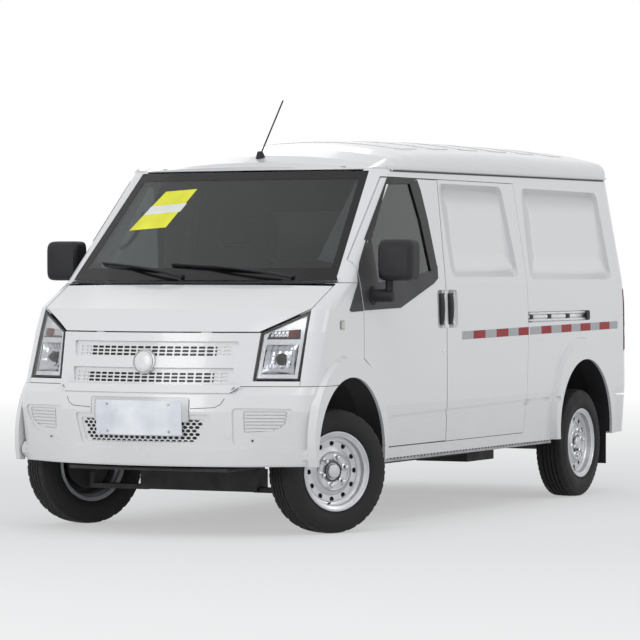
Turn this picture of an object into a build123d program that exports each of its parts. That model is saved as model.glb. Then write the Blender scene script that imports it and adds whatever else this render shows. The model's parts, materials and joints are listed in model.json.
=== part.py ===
from build123d import *
from collections import namedtuple
from functools import lru_cache
from math import cos, radians, sin, sqrt, tan
import os

os.makedirs("parts", exist_ok=True)

# Electric delivery van. Millimetres, +Z up, nose towards -Y, the driver's side (left) towards +X.
# The origin is on the ground under the middle of the van.

# Overall sizes
wheelbase = 3050
front_overhang = 680
rear_overhang = 770
half_width = 818
roof_height = 2000
panel_thickness = 42
hood_thickness = 26
glass_thickness = 6
glass_inset = 5
tab_inset = 12
shut_gap = 6
seam_gap = 3
fit_gap = 0.3

# Heights of the body's main lines
skirt_z = 345
bumper_widest_z = 610
bumper_top_z = 690
shelf_z = 728
hood_edge_z = 989
lamp_top_z = 1100
cowl_z = 1225
gutter_z = 1800
sill_top_z = 398
tailgate_foot_z = 570

# Wheels and arches
tyre_radius = 305
tyre_width = 175
rim_radius = 190
half_track = 717
arch_radius = 369
arch_z = 395
arch_ahead = 22
flare_radius = 410
flare_z = 455
flare_stand = 22
flare_slope = 30
flare_root = 12
rear_arch_radius = 388
rear_flare_radius = 445
steer_rest = 28
kingpin_inboard = 77

front_axle = front_overhang - (front_overhang + wheelbase + rear_overhang) / 2
rear_axle = front_axle + wheelbase
nose_y = front_axle - front_overhang
tail_y = rear_axle + rear_overhang
screen_top_y = nose_y + 1174
screen_foot_y = nose_y + 575

# Body seen from above, at rising heights. Each row says how far the outline stands back from the nose or in
# from the side and the tail: centre of the nose, edge of the front panel, corner, start of the flat side.
Level = namedtuple("Level", "z nose_back facet_x facet_back corner_in corner_back side_back tuck tail_in")
body_levels = [
    Level(skirt_z, 25, 535, 105, 61, 225, 325, 12, 15),
    Level(bumper_widest_z, 0, 535, 110, 83, 198, 330, 0, 0),
    Level(bumper_top_z, 8, 535, 112, 82, 205, 327, 0, 0),
    Level(shelf_z, 48, 535, 133, 76, 198, 300, 0, 3),
    Level(hood_edge_z, 113, 540, 135, 71, 232, 337, 1, 4),
    Level(lamp_top_z, 240, 545, 90, 67, 155, 290, 3, 6),
    Level(cowl_z, 575, 542, 33, 56, 77, 175, 9, 18),
    Level(gutter_z, 1174, 480, 25, 81, 65, 146, 75, 125),
]
cowl_level = body_levels[-2]
rear_corner = 130
rear_bow = 40

# Roof seen from the front, at stations behind the top of the windscreen: heights under the roof's highest line
Station = namedtuple("Station", "back centre_drop shoulder_drop edge_drop")
roof_stations = [
    Station(-60, 212, 232, 246),
    Station(50, 158, 200, 215),
    Station(150, 120, 172, 200),
    Station(300, 78, 133, 197),
    Station(480, 51, 113, 195),
    Station(800, 26, 98, 193),
    Station(1400, 7, 85, 188),
    Station(2100, 0, 79, 184),
    Station(3260, 0, 84, 178),
]
shoulder_x = 640
roof_half = half_width - 75
roof_thickness = 30

# Side openings, as places along the van and heights
door_front_y = front_axle + 152
pillar_y = front_axle + 1150
slide_rear_y = front_axle + 2232
door_top_z = 1762
belt_z = 1250
wall_thickness = 86
rebate = 34

# Doors, lids and windows
door_reach = 62
hood_reach = 50
tailgate_reach = 80
tailgate_half = 640
screen_half = 745
screen_top_half = 655
floor_top_z = 560
floor_thickness = 36


def bulge(start, end, share):
    """Middle point of an arc from start to end that stands out by a share of the chord."""
    run_x, run_y = end[0] - start[0], end[1] - start[1]
    return ((start[0] + end[0]) / 2 + run_y * share, (start[1] + end[1]) / 2 - run_x * share)


def flip(point):
    return (-point[0], point[1])


def body_outline(level, inset):
    """One level of the body seen from above."""
    half = half_width - level.tuck - inset
    nose = nose_y + level.nose_back + inset
    facet = (level.facet_x - inset / 4, nose + level.facet_back)
    corner = (half - level.corner_in, nose + level.corner_back)
    side = (half, nose + level.side_back)
    rear = tail_y - level.tail_in - inset
    side_end = (half, rear - rear_bow - rear_corner)
    rear_edge = (half - rear_corner, rear - rear_bow)
    front_bulge = bulge(corner, side, 0.16)
    rear_bulge = bulge(side_end, rear_edge, 0.2)
    ThreePointArc(flip(facet), (0, nose), facet)
    Line(facet, corner)
    ThreePointArc(corner, front_bulge, side)
    Line(side, side_end)
    ThreePointArc(side_end, rear_bulge, rear_edge)
    ThreePointArc(rear_edge, (0, rear), flip(rear_edge))
    ThreePointArc(flip(rear_edge), flip(rear_bulge), flip(side_end))
    Line(flip(side_end), flip(side))
    ThreePointArc(flip(side), flip(front_bulge), flip(corner))
    Line(flip(corner), flip(facet))


@lru_cache(maxsize=None)
def body_volume(inset, foot_z=skirt_z, roof_inset=None):
    """The whole body as one solid, inset from the skin and cut off at foot_z."""
    top_level = body_levels[-1]
    with BuildPart() as volume:
        for level in body_levels:
            z = foot_z if level is body_levels[0] else level.z
            with BuildSketch(Plane.XY.offset(z)):
                with BuildLine():
                    body_outline(level, inset)
                make_face()
        loft(ruled=True)
        with BuildPart(mode=Mode.PRIVATE) as upper:
            with BuildSketch(Plane.XY.offset(top_level.z)):
                with BuildLine():
                    body_outline(top_level, inset)
                make_face()
            extrude(amount=roof_height - top_level.z + 40)
            add(roof_crown(inset if roof_inset is None else roof_inset), mode=Mode.INTERSECT)
        add(upper.part)
    return volume.part


def roof_crown(inset):
    """A long solid whose top is the roof's crown, for cutting the body to height."""
    with BuildPart() as crown:
        for station in roof_stations:
            top = roof_height - inset
            shoulder = (shoulder_x - inset / 2, top - station.shoulder_drop)
            edge = (roof_half + 2 - inset, top - station.edge_drop)
            hem = (half_width, edge[1] - 60)
            foot = (half_width, skirt_z)
            with BuildSketch(Plane.XZ.offset(-screen_top_y - station.back)):
                with BuildLine():
                    ThreePointArc(flip(shoulder), (0, top - station.centre_drop), shoulder)
                    ThreePointArc(shoulder, bulge(edge, shoulder, 0.12), edge)
                    Polyline(edge, hem, foot, flip(foot), flip(hem), flip(edge))
                    ThreePointArc(flip(edge), flip(bulge(edge, shoulder, 0.12)), flip(shoulder))
                make_face()
        loft(ruled=True)
    return crown.part


def side_prism(points, x_from, x_to, grow=0):
    """A solid with an outline drawn on the side view, as (along, height) points."""
    with BuildPart() as prism:
        with BuildSketch(Plane.YZ.offset(x_from)):
            with BuildLine():
                Polyline(*points, close=True)
            make_face()
            if grow:
                offset(amount=grow, kind=Kind.INTERSECTION)
        extrude(amount=x_to - x_from)
    return prism.part


def front_prism(points, y_from, y_to, grow=0):
    """A solid with an outline drawn on the front view, as (across, height) points."""
    with BuildPart() as prism:
        with BuildSketch(Plane.XZ.offset(-y_from)):
            with BuildLine():
                Polyline(*points, close=True)
            make_face()
            if grow:
                offset(amount=grow, kind=Kind.INTERSECTION)
        extrude(amount=y_from - y_to)
    return prism.part


def side_disc(y, z, radius, x_from, x_to, taper=0):
    """A round solid across the van, narrowing outwards where it has a taper."""
    with BuildPart() as disc:
        with BuildSketch(Plane.YZ.offset(x_from)):
            with Locations((y, z)):
                Circle(radius)
        extrude(amount=x_to - x_from, taper=taper)
    return disc.part


def block(low, high):
    """A plain box from its lowest to its highest corner."""
    with BuildPart() as cut:
        with BuildSketch(Plane.XY.offset(low[2])):
            with Locations(((low[0] + high[0]) / 2, (low[1] + high[1]) / 2)):
                Rectangle(high[0] - low[0], high[1] - low[1])
        extrude(amount=high[2] - low[2])
    return cut.part


def tab(low, high):
    """A fixing tab inside the panels' thickness, bridging a seam between two of them."""
    with BuildPart() as piece:
        add(tab_outside)
        add(block(low, high), mode=Mode.INTERSECT)
        add(panel_inside, mode=Mode.SUBTRACT)
    return piece.part


def save(part, label):
    part.label = label
    export_step(part, f"parts/{label}.step")


def save_both(part, label):
    """Write the left piece and its mirror image on the right."""
    save(part, f"{label}_left")
    save(mirror(part, about=Plane.YZ), f"{label}_right")


wide = half_width + 100
far_front = nose_y - 100
far_rear = tail_y + 100

# The skin, the inside of doors and panels, the rebate behind the doors and the inside of the walls
skin = body_volume(0)
panel_inside = body_volume(panel_thickness, skirt_z - 5, roof_thickness)
rebate_inside = body_volume(panel_thickness + shut_gap, skirt_z - 5)
wall_inside = body_volume(wall_thickness, skirt_z - 5, roof_thickness)
fit_inside = body_volume(wall_thickness + fit_gap, skirt_z - 5, roof_thickness + fit_gap)
hood_inside = body_volume(hood_thickness, skirt_z - 5)
glass_outside = body_volume(glass_inset, skirt_z - 5)
glass_inside = body_volume(glass_inset + glass_thickness, skirt_z - 5)
tab_outside = body_volume(tab_inset, skirt_z - 5)
stop_outside = body_volume(panel_thickness + fit_gap, skirt_z - 5)

front_arch = side_disc(front_axle - arch_ahead, arch_z, arch_radius, 0, wide)
flare_spread = (flare_stand + flare_root) * tan(radians(flare_slope))
front_flare_foot = flare_radius + flare_spread
rear_flare_foot = rear_flare_radius + flare_spread
front_flare = side_disc(front_axle - arch_ahead, flare_z, front_flare_foot,
                        half_width - flare_root, half_width + flare_stand, taper=flare_slope)
rear_arch = side_disc(rear_axle - arch_ahead, arch_z, rear_arch_radius, 0, wide)
rear_flare = side_disc(rear_axle - arch_ahead, flare_z, rear_flare_foot,
                       half_width - flare_root, half_width + flare_stand, taper=flare_slope)

# Door outlines on the side view
door_outline = [
    (door_front_y, sill_top_z), (pillar_y, sill_top_z), (pillar_y, belt_z), (pillar_y + 24, door_top_z),
    (front_axle + 545, door_top_z), (front_axle + 96, 1340), (front_axle + 108, 1285), (door_front_y, 1085),
]
slide_outline = [
    (pillar_y, sill_top_z), (slide_rear_y - 60, sill_top_z), (slide_rear_y - 25, 560), (slide_rear_y, 900),
    (slide_rear_y, belt_z), (slide_rear_y - 58, door_top_z), (pillar_y + 24, door_top_z), (pillar_y, belt_z),
]
door_window = [
    (front_axle + 322, 1213), (front_axle + 262, 1440), (front_axle + 590, 1738), (front_axle + 893, 1742),
    (front_axle + 975, 1496), (front_axle + 1010, 1286),
]
sail_outline = [
    (front_axle - 8, 1089), (front_axle + 587, 1100), (front_axle + 1034, 1238), (front_axle + 1034, 1300),
    (front_axle + 1000, 1496), (front_axle + 915, 1760), (front_axle + 570, 1762), (front_axle + 236, 1440),
    (front_axle + 100, 1300),
]

# Front view outlines
hood_outline = [
    (538, hood_edge_z + seam_gap), (742, lamp_top_z + seam_gap), (748, cowl_z - 9),
    (-748, cowl_z - 9), (-742, lamp_top_z + seam_gap), (-538, hood_edge_z + seam_gap),
]
lamp_outline = [
    (535, 757), (549, 991), (746, 1095), (752, 757),
]
panel_outline = [
    (752, shelf_z + seam_gap), (752, 757 - seam_gap), (532, 757 - seam_gap), (545, hood_edge_z - seam_gap),
    (-545, hood_edge_z - seam_gap), (-532, 757 - seam_gap), (-752, 757 - seam_gap), (-752, shelf_z + seam_gap),
]
cowl_outline = [(744, cowl_z - 2), (744, cowl_z + 8), (-744, cowl_z + 8), (-744, cowl_z - 2)]
screen_outline = [
    (screen_half, cowl_z + 12), (screen_top_half, gutter_z - 8), (-screen_top_half, gutter_z - 8),
    (-screen_half, cowl_z + 12),
]
tailgate_outline = [
    (tailgate_half, tailgate_foot_z), (tailgate_half, cowl_z), (tailgate_half - 30, gutter_z - 14),
    (-tailgate_half + 30, gutter_z - 14), (-tailgate_half, cowl_z), (-tailgate_half, tailgate_foot_z),
]
tailgate_window = [
    (520, 1280), (495, 1690), (-495, 1690), (-520, 1280),
]
screen_y = front_axle + 700
lamp_low_z = 815
lamp_high_z = 1185

# Front door, with its window cut through
with BuildPart() as door:
    add(skin)
    add(side_prism(door_outline, 300, wide, -shut_gap), mode=Mode.INTERSECT)
    add(side_disc(front_axle - arch_ahead, flare_z, front_flare_foot + shut_gap, 0, wide), mode=Mode.SUBTRACT)
    add(panel_inside, mode=Mode.SUBTRACT)
    add(side_prism(door_window, 300, wide), mode=Mode.SUBTRACT)
save_both(door.part, "door")

with BuildPart() as door_glass:
    add(glass_outside)
    add(side_prism(door_window, 300, wide, -fit_gap), mode=Mode.INTERSECT)
    add(glass_inside, mode=Mode.SUBTRACT)
save_both(door_glass.part, "door_glass")

# Sliding side door, closed for good here
with BuildPart() as sliding_door:
    add(skin)
    add(side_prism(slide_outline, 300, wide, -shut_gap / 2), mode=Mode.INTERSECT)
    add(panel_inside, mode=Mode.SUBTRACT)
save_both(sliding_door.part, "sliding_door")

# Body side: sill, pillars, rail over the doors and rear quarter as one pressing
with BuildPart() as side:
    add(skin)
    add(block((300, door_front_y - 150, skirt_z), (wide, far_rear, gutter_z)), mode=Mode.INTERSECT)
    add(wall_inside, mode=Mode.SUBTRACT)
    with BuildPart(mode=Mode.PRIVATE) as door_space:
        add(skin)
        add(side_prism(door_outline, 300, wide), mode=Mode.INTERSECT)
        add(rebate_inside, mode=Mode.SUBTRACT)
    add(door_space.part, mode=Mode.SUBTRACT)
    with BuildPart(mode=Mode.PRIVATE) as slide_space:
        add(skin)
        add(side_prism(slide_outline, 300, wide), mode=Mode.INTERSECT)
        add(rebate_inside, mode=Mode.SUBTRACT)
    add(slide_space.part, mode=Mode.SUBTRACT)
    add(side_prism(door_outline, 300, wide, -rebate), mode=Mode.SUBTRACT)
    add(side_prism(slide_outline, 300, wide, -rebate), mode=Mode.SUBTRACT)
    add(front_prism(screen_outline, far_front, screen_y), mode=Mode.SUBTRACT)
    add(block((0, far_front, skirt_z - 5), (wide, door_front_y, cowl_z + seam_gap)), mode=Mode.SUBTRACT)
    add(side_disc(front_axle - arch_ahead, flare_z, front_flare_foot + seam_gap, 0, wide), mode=Mode.SUBTRACT)
    add(front_prism(cowl_outline, far_front, front_axle + 300, fit_gap), mode=Mode.SUBTRACT)
    add(front_prism(tailgate_outline, tail_y - 400, far_rear, shut_gap), mode=Mode.SUBTRACT)
    add(block((0, rear_axle + 450, skirt_z - 5), (wide, far_rear, tailgate_foot_z)), mode=Mode.SUBTRACT)
    add(block((tailgate_half + 8, rear_axle + 600, lamp_low_z), (wide, far_rear, lamp_high_z)), mode=Mode.SUBTRACT)
    add(block((300, front_axle, gutter_z - 60), (screen_top_half - 30, screen_y, gutter_z)), mode=Mode.SUBTRACT)
    add(block((300, rear_axle + 300, gutter_z - 14), (tailgate_half - 60, far_rear, gutter_z)), mode=Mode.SUBTRACT)
    add(rear_flare)
    add(rear_arch, mode=Mode.SUBTRACT)
    add(block((0, rear_axle - 600, -100), (wide, rear_axle + 600, skirt_z)), mode=Mode.SUBTRACT)
    # Rubber stop on the middle pillar that both doors close against
    with BuildPart(mode=Mode.PRIVATE) as door_stop:
        add(stop_outside)
        add(block((600, pillar_y - rebate + 4, 700), (wide, pillar_y + rebate - 4, 760)), mode=Mode.INTERSECT)
        add(wall_inside, mode=Mode.SUBTRACT)
    add(door_stop.part)
    add(tab((770, front_axle + 60, cowl_z + fit_gap), (wide, front_axle + 100, cowl_z + 20)))
print("side solids", [(round(s.volume), s.bounding_box()) for s in side.solids()])
save_both(side.part, "side")

# Wing round the front wheel, with its flare
with BuildPart() as fender:
    add(skin)
    add(block((700, far_front, skirt_z), (wide, door_front_y, cowl_z)), mode=Mode.INTERSECT)
    add(side_prism(door_outline, 300, wide), mode=Mode.SUBTRACT)
    add(side_disc(front_axle - arch_ahead, flare_z, front_flare_foot, 700, wide))
    add(skin, mode=Mode.INTERSECT)
    add(panel_inside, mode=Mode.SUBTRACT)
    add(front_flare)
    add(front_prism(hood_outline, far_front, front_axle + 300, shut_gap), mode=Mode.SUBTRACT)
    add(front_prism(lamp_outline, far_front, front_axle + 300, fit_gap), mode=Mode.SUBTRACT)
    add(front_prism(cowl_outline, far_front, front_axle + 300, fit_gap), mode=Mode.SUBTRACT)
    add(front_prism(panel_outline, far_front, front_axle - 100, seam_gap), mode=Mode.SUBTRACT)
    add(block((0, far_front, 0), (wide, front_axle, shelf_z + seam_gap)), mode=Mode.SUBTRACT)
    add(front_arch, mode=Mode.SUBTRACT)
    add(block((0, far_front, -100), (wide, front_axle + 600, skirt_z)), mode=Mode.SUBTRACT)
    add(tab((740, front_axle - 330, shelf_z + fit_gap), (wide, front_axle - 260, shelf_z + 20)))
print("fender solids", [(round(s.volume), s.bounding_box()) for s in fender.solids()])
save_both(fender.part, "fender")

# Front bumper
with BuildPart() as bumper_front:
    add(skin)
    add(block((-wide, far_front, skirt_z), (wide, front_axle, shelf_z)), mode=Mode.INTERSECT)
    add(panel_inside, mode=Mode.SUBTRACT)
    for hand in (1, -1):
        flare = front_flare if hand > 0 else mirror(front_flare, about=Plane.YZ)
        add(flare)
    add(block((-wide, front_axle - seam_gap, 0), (wide, far_rear, roof_height)), mode=Mode.SUBTRACT)
    add(block((-wide, far_front, shelf_z), (wide, far_rear, roof_height)), mode=Mode.SUBTRACT)
    add(block((-wide, far_front, -100), (wide, far_rear, skirt_z)), mode=Mode.SUBTRACT)
    add(front_arch, mode=Mode.SUBTRACT)
    add(mirror(front_arch, about=Plane.YZ), mode=Mode.SUBTRACT)
print("bumper solids", len(bumper_front.solids()))
save(bumper_front.part, "bumper_front")

# Front panel between the lamps, with the two grille slots
with BuildPart() as front_panel:
    add(skin)
    add(front_prism(panel_outline, far_front, front_axle - 200), mode=Mode.INTERSECT)
    add(panel_inside, mode=Mode.SUBTRACT)
    for x in (-240, 180):
        add(tab((x, far_front, shelf_z + fit_gap), (x + 60, front_axle, shelf_z + 20)))
    # Rubber buffers that the bonnet rests on
    with BuildPart(mode=Mode.PRIVATE) as buffers:
        for x in (-320, 270):
            add(block((x, far_front, hood_edge_z - 20), (x + 50, front_axle, hood_edge_z + seam_gap - fit_gap)))
        add(tab_outside, mode=Mode.INTERSECT)
        add(hood_inside, mode=Mode.SUBTRACT)
    add(buffers.part)
save(front_panel.part, "front_panel")

# Head lamps
with BuildPart() as headlamps:
    add(skin)
    with BuildPart(mode=Mode.PRIVATE) as lamp_space:
        add(front_prism(lamp_outline, far_front, front_axle - 100))
        add(mirror(lamp_space.part, about=Plane.YZ))
    add(lamp_space.part, mode=Mode.INTERSECT)
    add(panel_inside, mode=Mode.SUBTRACT)
    lamp_tab = tab((600, far_front, 757 - seam_gap + fit_gap), (660, front_axle, 775))
    add(lamp_tab)
    add(mirror(lamp_tab, about=Plane.YZ))
print("lamp solids", len(headlamps.solids()))
save(headlamps.part, "headlamps")

# Bonnet, its rear edge cut upright where it meets the scuttle so that it can rise
hood_rear_gap = 24
with BuildPart() as hood:
    add(skin)
    add(front_prism(hood_outline, far_front, front_axle + 200), mode=Mode.INTERSECT)
    add(hood_inside, mode=Mode.SUBTRACT)
    with BuildSketch(Plane.XY.offset(hood_edge_z)):
        with BuildLine():
            body_outline(cowl_level, -hood_rear_gap)
        make_face()
    extrude(amount=gutter_z - hood_edge_z, mode=Mode.SUBTRACT)
save(hood.part, "hood")

# Windscreen
with BuildPart() as windscreen:
    add(glass_outside)
    add(front_prism(screen_outline, far_front, screen_y, -fit_gap), mode=Mode.INTERSECT)
    add(glass_inside, mode=Mode.SUBTRACT)
print("screen solids", len(windscreen.solids()))
save(windscreen.part, "windscreen")

# Scuttle under the windscreen
with BuildPart() as cowl:
    add(skin)
    add(front_prism(cowl_outline, far_front, front_axle + 120), mode=Mode.INTERSECT)
    add(panel_inside, mode=Mode.SUBTRACT)
print("cowl solids", len(cowl.solids()))
save(cowl.part, "cowl")

# Barrels of the tailgate's hinges, on its top edge
hinge_x = 380
hinge_y = tail_y - body_levels[-1].tail_in + 7
hinge_z = gutter_z - 14
hinge_radius = 7


def hinge_barrel(x_from, x_to, gate=False):
    """One barrel of a hinge with its tab, up to the roof or down to the gate."""
    reach_z = hinge_z - 40 if gate else gutter_z + 12
    low_z, high_z = sorted((hinge_z + (-6 if gate else 6), reach_z))
    with BuildPart() as barrel:
        add(side_disc(hinge_y, hinge_z, hinge_radius, x_from, x_to))
        add(block((x_from, hinge_y - 60, low_z), (x_to, hinge_y + 3, high_z)))
        if gate:
            add(rebate_inside, mode=Mode.SUBTRACT)
    return barrel.part


# Roof, with the strip over the windscreen
with BuildPart() as roof:
    add(skin)
    add(block((-wide, far_front, gutter_z), (wide, far_rear, roof_height + 50)), mode=Mode.INTERSECT)
    add(body_volume(roof_thickness), mode=Mode.SUBTRACT)
    for hand in (1, -1):
        add(hinge_barrel(hand * hinge_x + 30.3, hand * hinge_x + 56))
        add(hinge_barrel(hand * hinge_x - 56, hand * hinge_x - 30.3))
print("roof solids", len(roof.solids()))
save(roof.part, "roof")

# Tailgate and its window
with BuildPart() as tailgate:
    add(skin)
    add(front_prism(tailgate_outline, tail_y - 400, far_rear), mode=Mode.INTERSECT)
    add(panel_inside, mode=Mode.SUBTRACT)
    add(front_prism(tailgate_window, tail_y - 400, far_rear), mode=Mode.SUBTRACT)
    for hand in (1, -1):
        add(hinge_barrel(hand * hinge_x - 30, hand * hinge_x + 30, gate=True))
print("tailgate solids", len(tailgate.solids()))
save(tailgate.part, "tailgate")

with BuildPart() as tailgate_glass:
    add(glass_outside)
    add(front_prism(tailgate_window, tail_y - 400, far_rear, -fit_gap), mode=Mode.INTERSECT)
    add(glass_inside, mode=Mode.SUBTRACT)
save(tailgate_glass.part, "tailgate_glass")

# Rear bumper
with BuildPart() as bumper_rear:
    add(skin)
    add(block((-wide, rear_axle + 450 + seam_gap, skirt_z), (wide, far_rear, tailgate_foot_z - 12)),
        mode=Mode.INTERSECT)
    add(panel_inside, mode=Mode.SUBTRACT)
    rear_tab = tab((700, rear_axle + 450 + fit_gap, 400), (wide, rear_axle + 480, 460))
    add(rear_tab)
    add(mirror(rear_tab, about=Plane.YZ))
print("rear bumper solids", len(bumper_rear.solids()))
save(bumper_rear.part, "bumper_rear")

# Tail lamps at the rear corners
with BuildPart() as tail_lamps:
    add(skin)
    with BuildPart(mode=Mode.PRIVATE) as corner_space:
        add(block((tailgate_half + 8 + fit_gap, rear_axle + 600 + fit_gap, lamp_low_z + fit_gap),
                  (wide, far_rear, lamp_high_z - fit_gap)))
        add(mirror(corner_space.part, about=Plane.YZ))
    add(corner_space.part, mode=Mode.INTERSECT)
    add(panel_inside, mode=Mode.SUBTRACT)
print("tail lamp solids", len(tail_lamps.solids()))
save(tail_lamps.part, "tail_lamps")

# Floor pan between the sills, closed round the wheels by liners
liner_gap = 26
liner_thickness = 4
liner_foot_z = 380
liner_rows = [
    # axle, inner wall's distance from the middle
    (front_axle, 430), (rear_axle, 560),
]
firewall_y = front_axle - 150
floor_end_y = tail_y - 190
with BuildPart() as floor:
    add(fit_inside)
    add(block((-wide, firewall_y, floor_top_z - floor_thickness), (wide, floor_end_y, floor_top_z)),
        mode=Mode.INTERSECT)
    for axle, inner_x in liner_rows:
        for hand in (1, -1):
            tub = side_disc(axle - arch_ahead, arch_z, rear_arch_radius + liner_gap + 0.3, inner_x - 0.3, wide)
            add(tub if hand > 0 else mirror(tub, about=Plane.YZ), mode=Mode.SUBTRACT)
save(floor.part, "floor")

with BuildPart() as wheel_liners:
    with BuildPart(mode=Mode.PRIVATE) as liner_shapes:
        for axle, inner_x in liner_rows:
            outside = side_disc(axle - arch_ahead, arch_z, rear_arch_radius + liner_gap, inner_x, wide)
            inside = side_disc(axle - arch_ahead, arch_z, rear_arch_radius + liner_gap - liner_thickness,
                               inner_x + liner_thickness, wide)
            with BuildPart(mode=Mode.PRIVATE) as liner:
                add(fit_inside)
                add(outside, mode=Mode.INTERSECT)
                add(inside, mode=Mode.SUBTRACT)
                add(block((0, far_front, 0), (wide, far_rear, liner_foot_z)), mode=Mode.SUBTRACT)
            add(liner.part)
    add(liner_shapes.part)
    add(mirror(liner_shapes.part, about=Plane.YZ))
print("liners", len(wheel_liners.solids()))
save(wheel_liners.part, "wheel_liners")

# Bulkheads in front of the feet and behind the seats
partition_y = pillar_y + 70
with BuildPart() as partition:
    add(fit_inside)
    add(block((-wide, partition_y, floor_top_z), (wide, partition_y + 20, roof_height)), mode=Mode.INTERSECT)
    add(front_prism([(260, 1330), (260, 1600), (-260, 1600), (-260, 1330)], partition_y - 50, partition_y + 50),
        mode=Mode.SUBTRACT)
save(partition.part, "partition")

with BuildPart() as firewall:
    add(fit_inside)
    add(block((-wide, firewall_y - 20, skirt_z + 60), (wide, firewall_y - 0.3, cowl_z - 60)), mode=Mode.INTERSECT)
    for hand in (1, -1):
        tub = side_disc(front_axle - arch_ahead, arch_z, rear_arch_radius + liner_gap + 0.3,
                        liner_rows[0][1] - 0.3, wide)
        add(tub if hand > 0 else mirror(tub, about=Plane.YZ), mode=Mode.SUBTRACT)
save(firewall.part, "firewall")

# Dashboard across the cab
dash_profile = [
    (firewall_y + 0.3, 960), (firewall_y + 0.3, 1150), (front_axle + 40, 1190), (front_axle + 150, 1160),
    (front_axle + 190, 1080), (front_axle + 120, 900),
]
dash_top_z = 1190
with BuildPart() as dashboard:
    add(fit_inside)
    add(side_prism(dash_profile, -wide, wide), mode=Mode.INTERSECT)
print("dash", len(dashboard.solids()))
save(dashboard.part, "dashboard")

# Two seats on their boxes
seat_x = 370
seat_width = 480
seat_profile = [
    (front_axle + 520, floor_top_z), (front_axle + 500, 880), (front_axle + 500, 940), (front_axle + 560, 960),
    (front_axle + 900, 930), (front_axle + 1010, 1420), (front_axle + 1060, 1420), (front_axle + 1080, 1380),
    (front_axle + 1040, 900), (front_axle + 1000, floor_top_z),
]
with BuildPart() as seats:
    for hand in (1, -1):
        add(side_prism(seat_profile, hand * seat_x - seat_width / 2, hand * seat_x + seat_width / 2))
        add(block((hand * seat_x - 120, front_axle + 1030, 1410), (hand * seat_x + 120, front_axle + 1090, 1590)))
print("seats", len(seats.solids()))
save(seats.part, "seats")

# Steering wheel and column in front of the driver
wheel_rake = 38
steering_centre = Vector(seat_x, front_axle + 330, 1200)
steering_axis = Vector(0, sin(radians(wheel_rake)), cos(radians(wheel_rake)))
steering_plane = Plane(origin=steering_centre, x_dir=(1, 0, 0), z_dir=steering_axis)
ring_radius = 190
ring_tube = 15
with BuildPart() as steering_wheel:
    with BuildSketch(Plane(origin=steering_centre, x_dir=(1, 0, 0), z_dir=steering_plane.y_dir * -1)):
        with Locations((ring_radius, 0)):
            Circle(ring_tube)
    revolve(axis=Axis(steering_centre, steering_axis))
    with BuildSketch(steering_plane.offset(-14)):
        Circle(62)
        for turn in (0, 180, 270):
            with Locations(Location((0, 0, 0), (0, 0, turn))):
                with Locations((ring_radius / 2, 0)):
                    Rectangle(ring_radius, 42)
    extrude(amount=16)
print("steering wheel", len(steering_wheel.solids()))
save(steering_wheel.part, "steering_wheel")

with BuildPart() as steering_column:
    with BuildSketch(steering_plane.offset(-14 - fit_gap)):
        Circle(38)
    extrude(amount=-230)
    add(dashboard.part, mode=Mode.SUBTRACT)
print("column", [round(s.volume) for s in steering_column.solids()])
column_top = steering_column.solids().sort_by(Axis.Z)[-1]
save(Part() + column_top, "steering_column")

# Battery pack, drive motor and the axles
battery_half = 430
battery_low_z = 270
with BuildPart() as battery_pack:
    with BuildSketch(Plane.XY.offset(battery_low_z)):
        with Locations((0, (front_axle + rear_axle) / 2 + 60)):
            RectangleRounded(2 * battery_half, wheelbase - 1250, 60)
    extrude(amount=floor_top_z - floor_thickness - battery_low_z)
save(battery_pack.part, "battery_pack")

hub_face = 14
axle_tube = 42
drum_radius = 125
spring_x = 470
spring_width = 60
with BuildPart() as rear_axle_beam:
    reach = half_track + hub_face - 0.3
    with BuildSketch(Plane.YZ.offset(-reach)):
        with Locations((rear_axle, tyre_radius)):
            Circle(axle_tube)
    extrude(amount=2 * reach)
    for low, high in ((-reach + 10, -reach + 70), (reach - 70, reach - 10)):
        with BuildSketch(Plane.YZ.offset(low)):
            with Locations((rear_axle, tyre_radius)):
                Circle(drum_radius)
        extrude(amount=high - low)
    add(block((-150, rear_axle - 190, 190), (170, rear_axle + 190, 450)))
save(rear_axle_beam.part, "rear_axle")

with BuildPart() as leaf_springs:
    for hand in (1, -1):
        x = hand * spring_x
        with BuildSketch(Plane.YZ.offset(x - spring_width / 2)):
            with BuildLine():
                front_eye = (rear_axle - 600, 470)
                rear_eye = (rear_axle + 600, 470)
                low_z = tyre_radius + axle_tube + 0.3
                ThreePointArc(front_eye, (rear_axle, low_z), rear_eye)
                Line(rear_eye, (rear_axle + 600, 490))
                ThreePointArc((rear_axle + 600, 490), (rear_axle, low_z + 36), (rear_axle - 600, 490))
                Line((rear_axle - 600, 490), front_eye)
            make_face()
        extrude(amount=spring_width)
        for end in (-600, 600):
            add(block((x - spring_width / 2, rear_axle + end - 40, 465),
                      (x + spring_width / 2, rear_axle + end + 40, floor_top_z - floor_thickness - 0.3)))
print("springs", len(leaf_springs.solids()))
save(leaf_springs.part, "leaf_springs")

# Front cross-member with the lower arms
kingpin_x = half_track - kingpin_inboard
ball_z = tyre_radius - 95
with BuildPart() as front_suspension:
    add(block((-330, front_axle - 60, ball_z - 20), (330, front_axle + 60, 300)))
    for hand in (1, -1):
        add(block((min(hand * 300, hand * (kingpin_x - 12)), front_axle - 35, ball_z - 24),
                  (max(hand * 300, hand * (kingpin_x - 12)), front_axle + 35, ball_z)))
        with BuildSketch(Plane.XY.offset(ball_z - 24)):
            with Locations((hand * kingpin_x, front_axle)):
                Circle(24)
        extrude(amount=24)
        add(block((hand * 300 - 30, front_axle - 30, 290),
                  (hand * 300 + 30, front_axle + 30, floor_top_z - floor_thickness - 0.3)))
print("front suspension", len(front_suspension.solids()))
save(front_suspension.part, "front_suspension")


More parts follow.
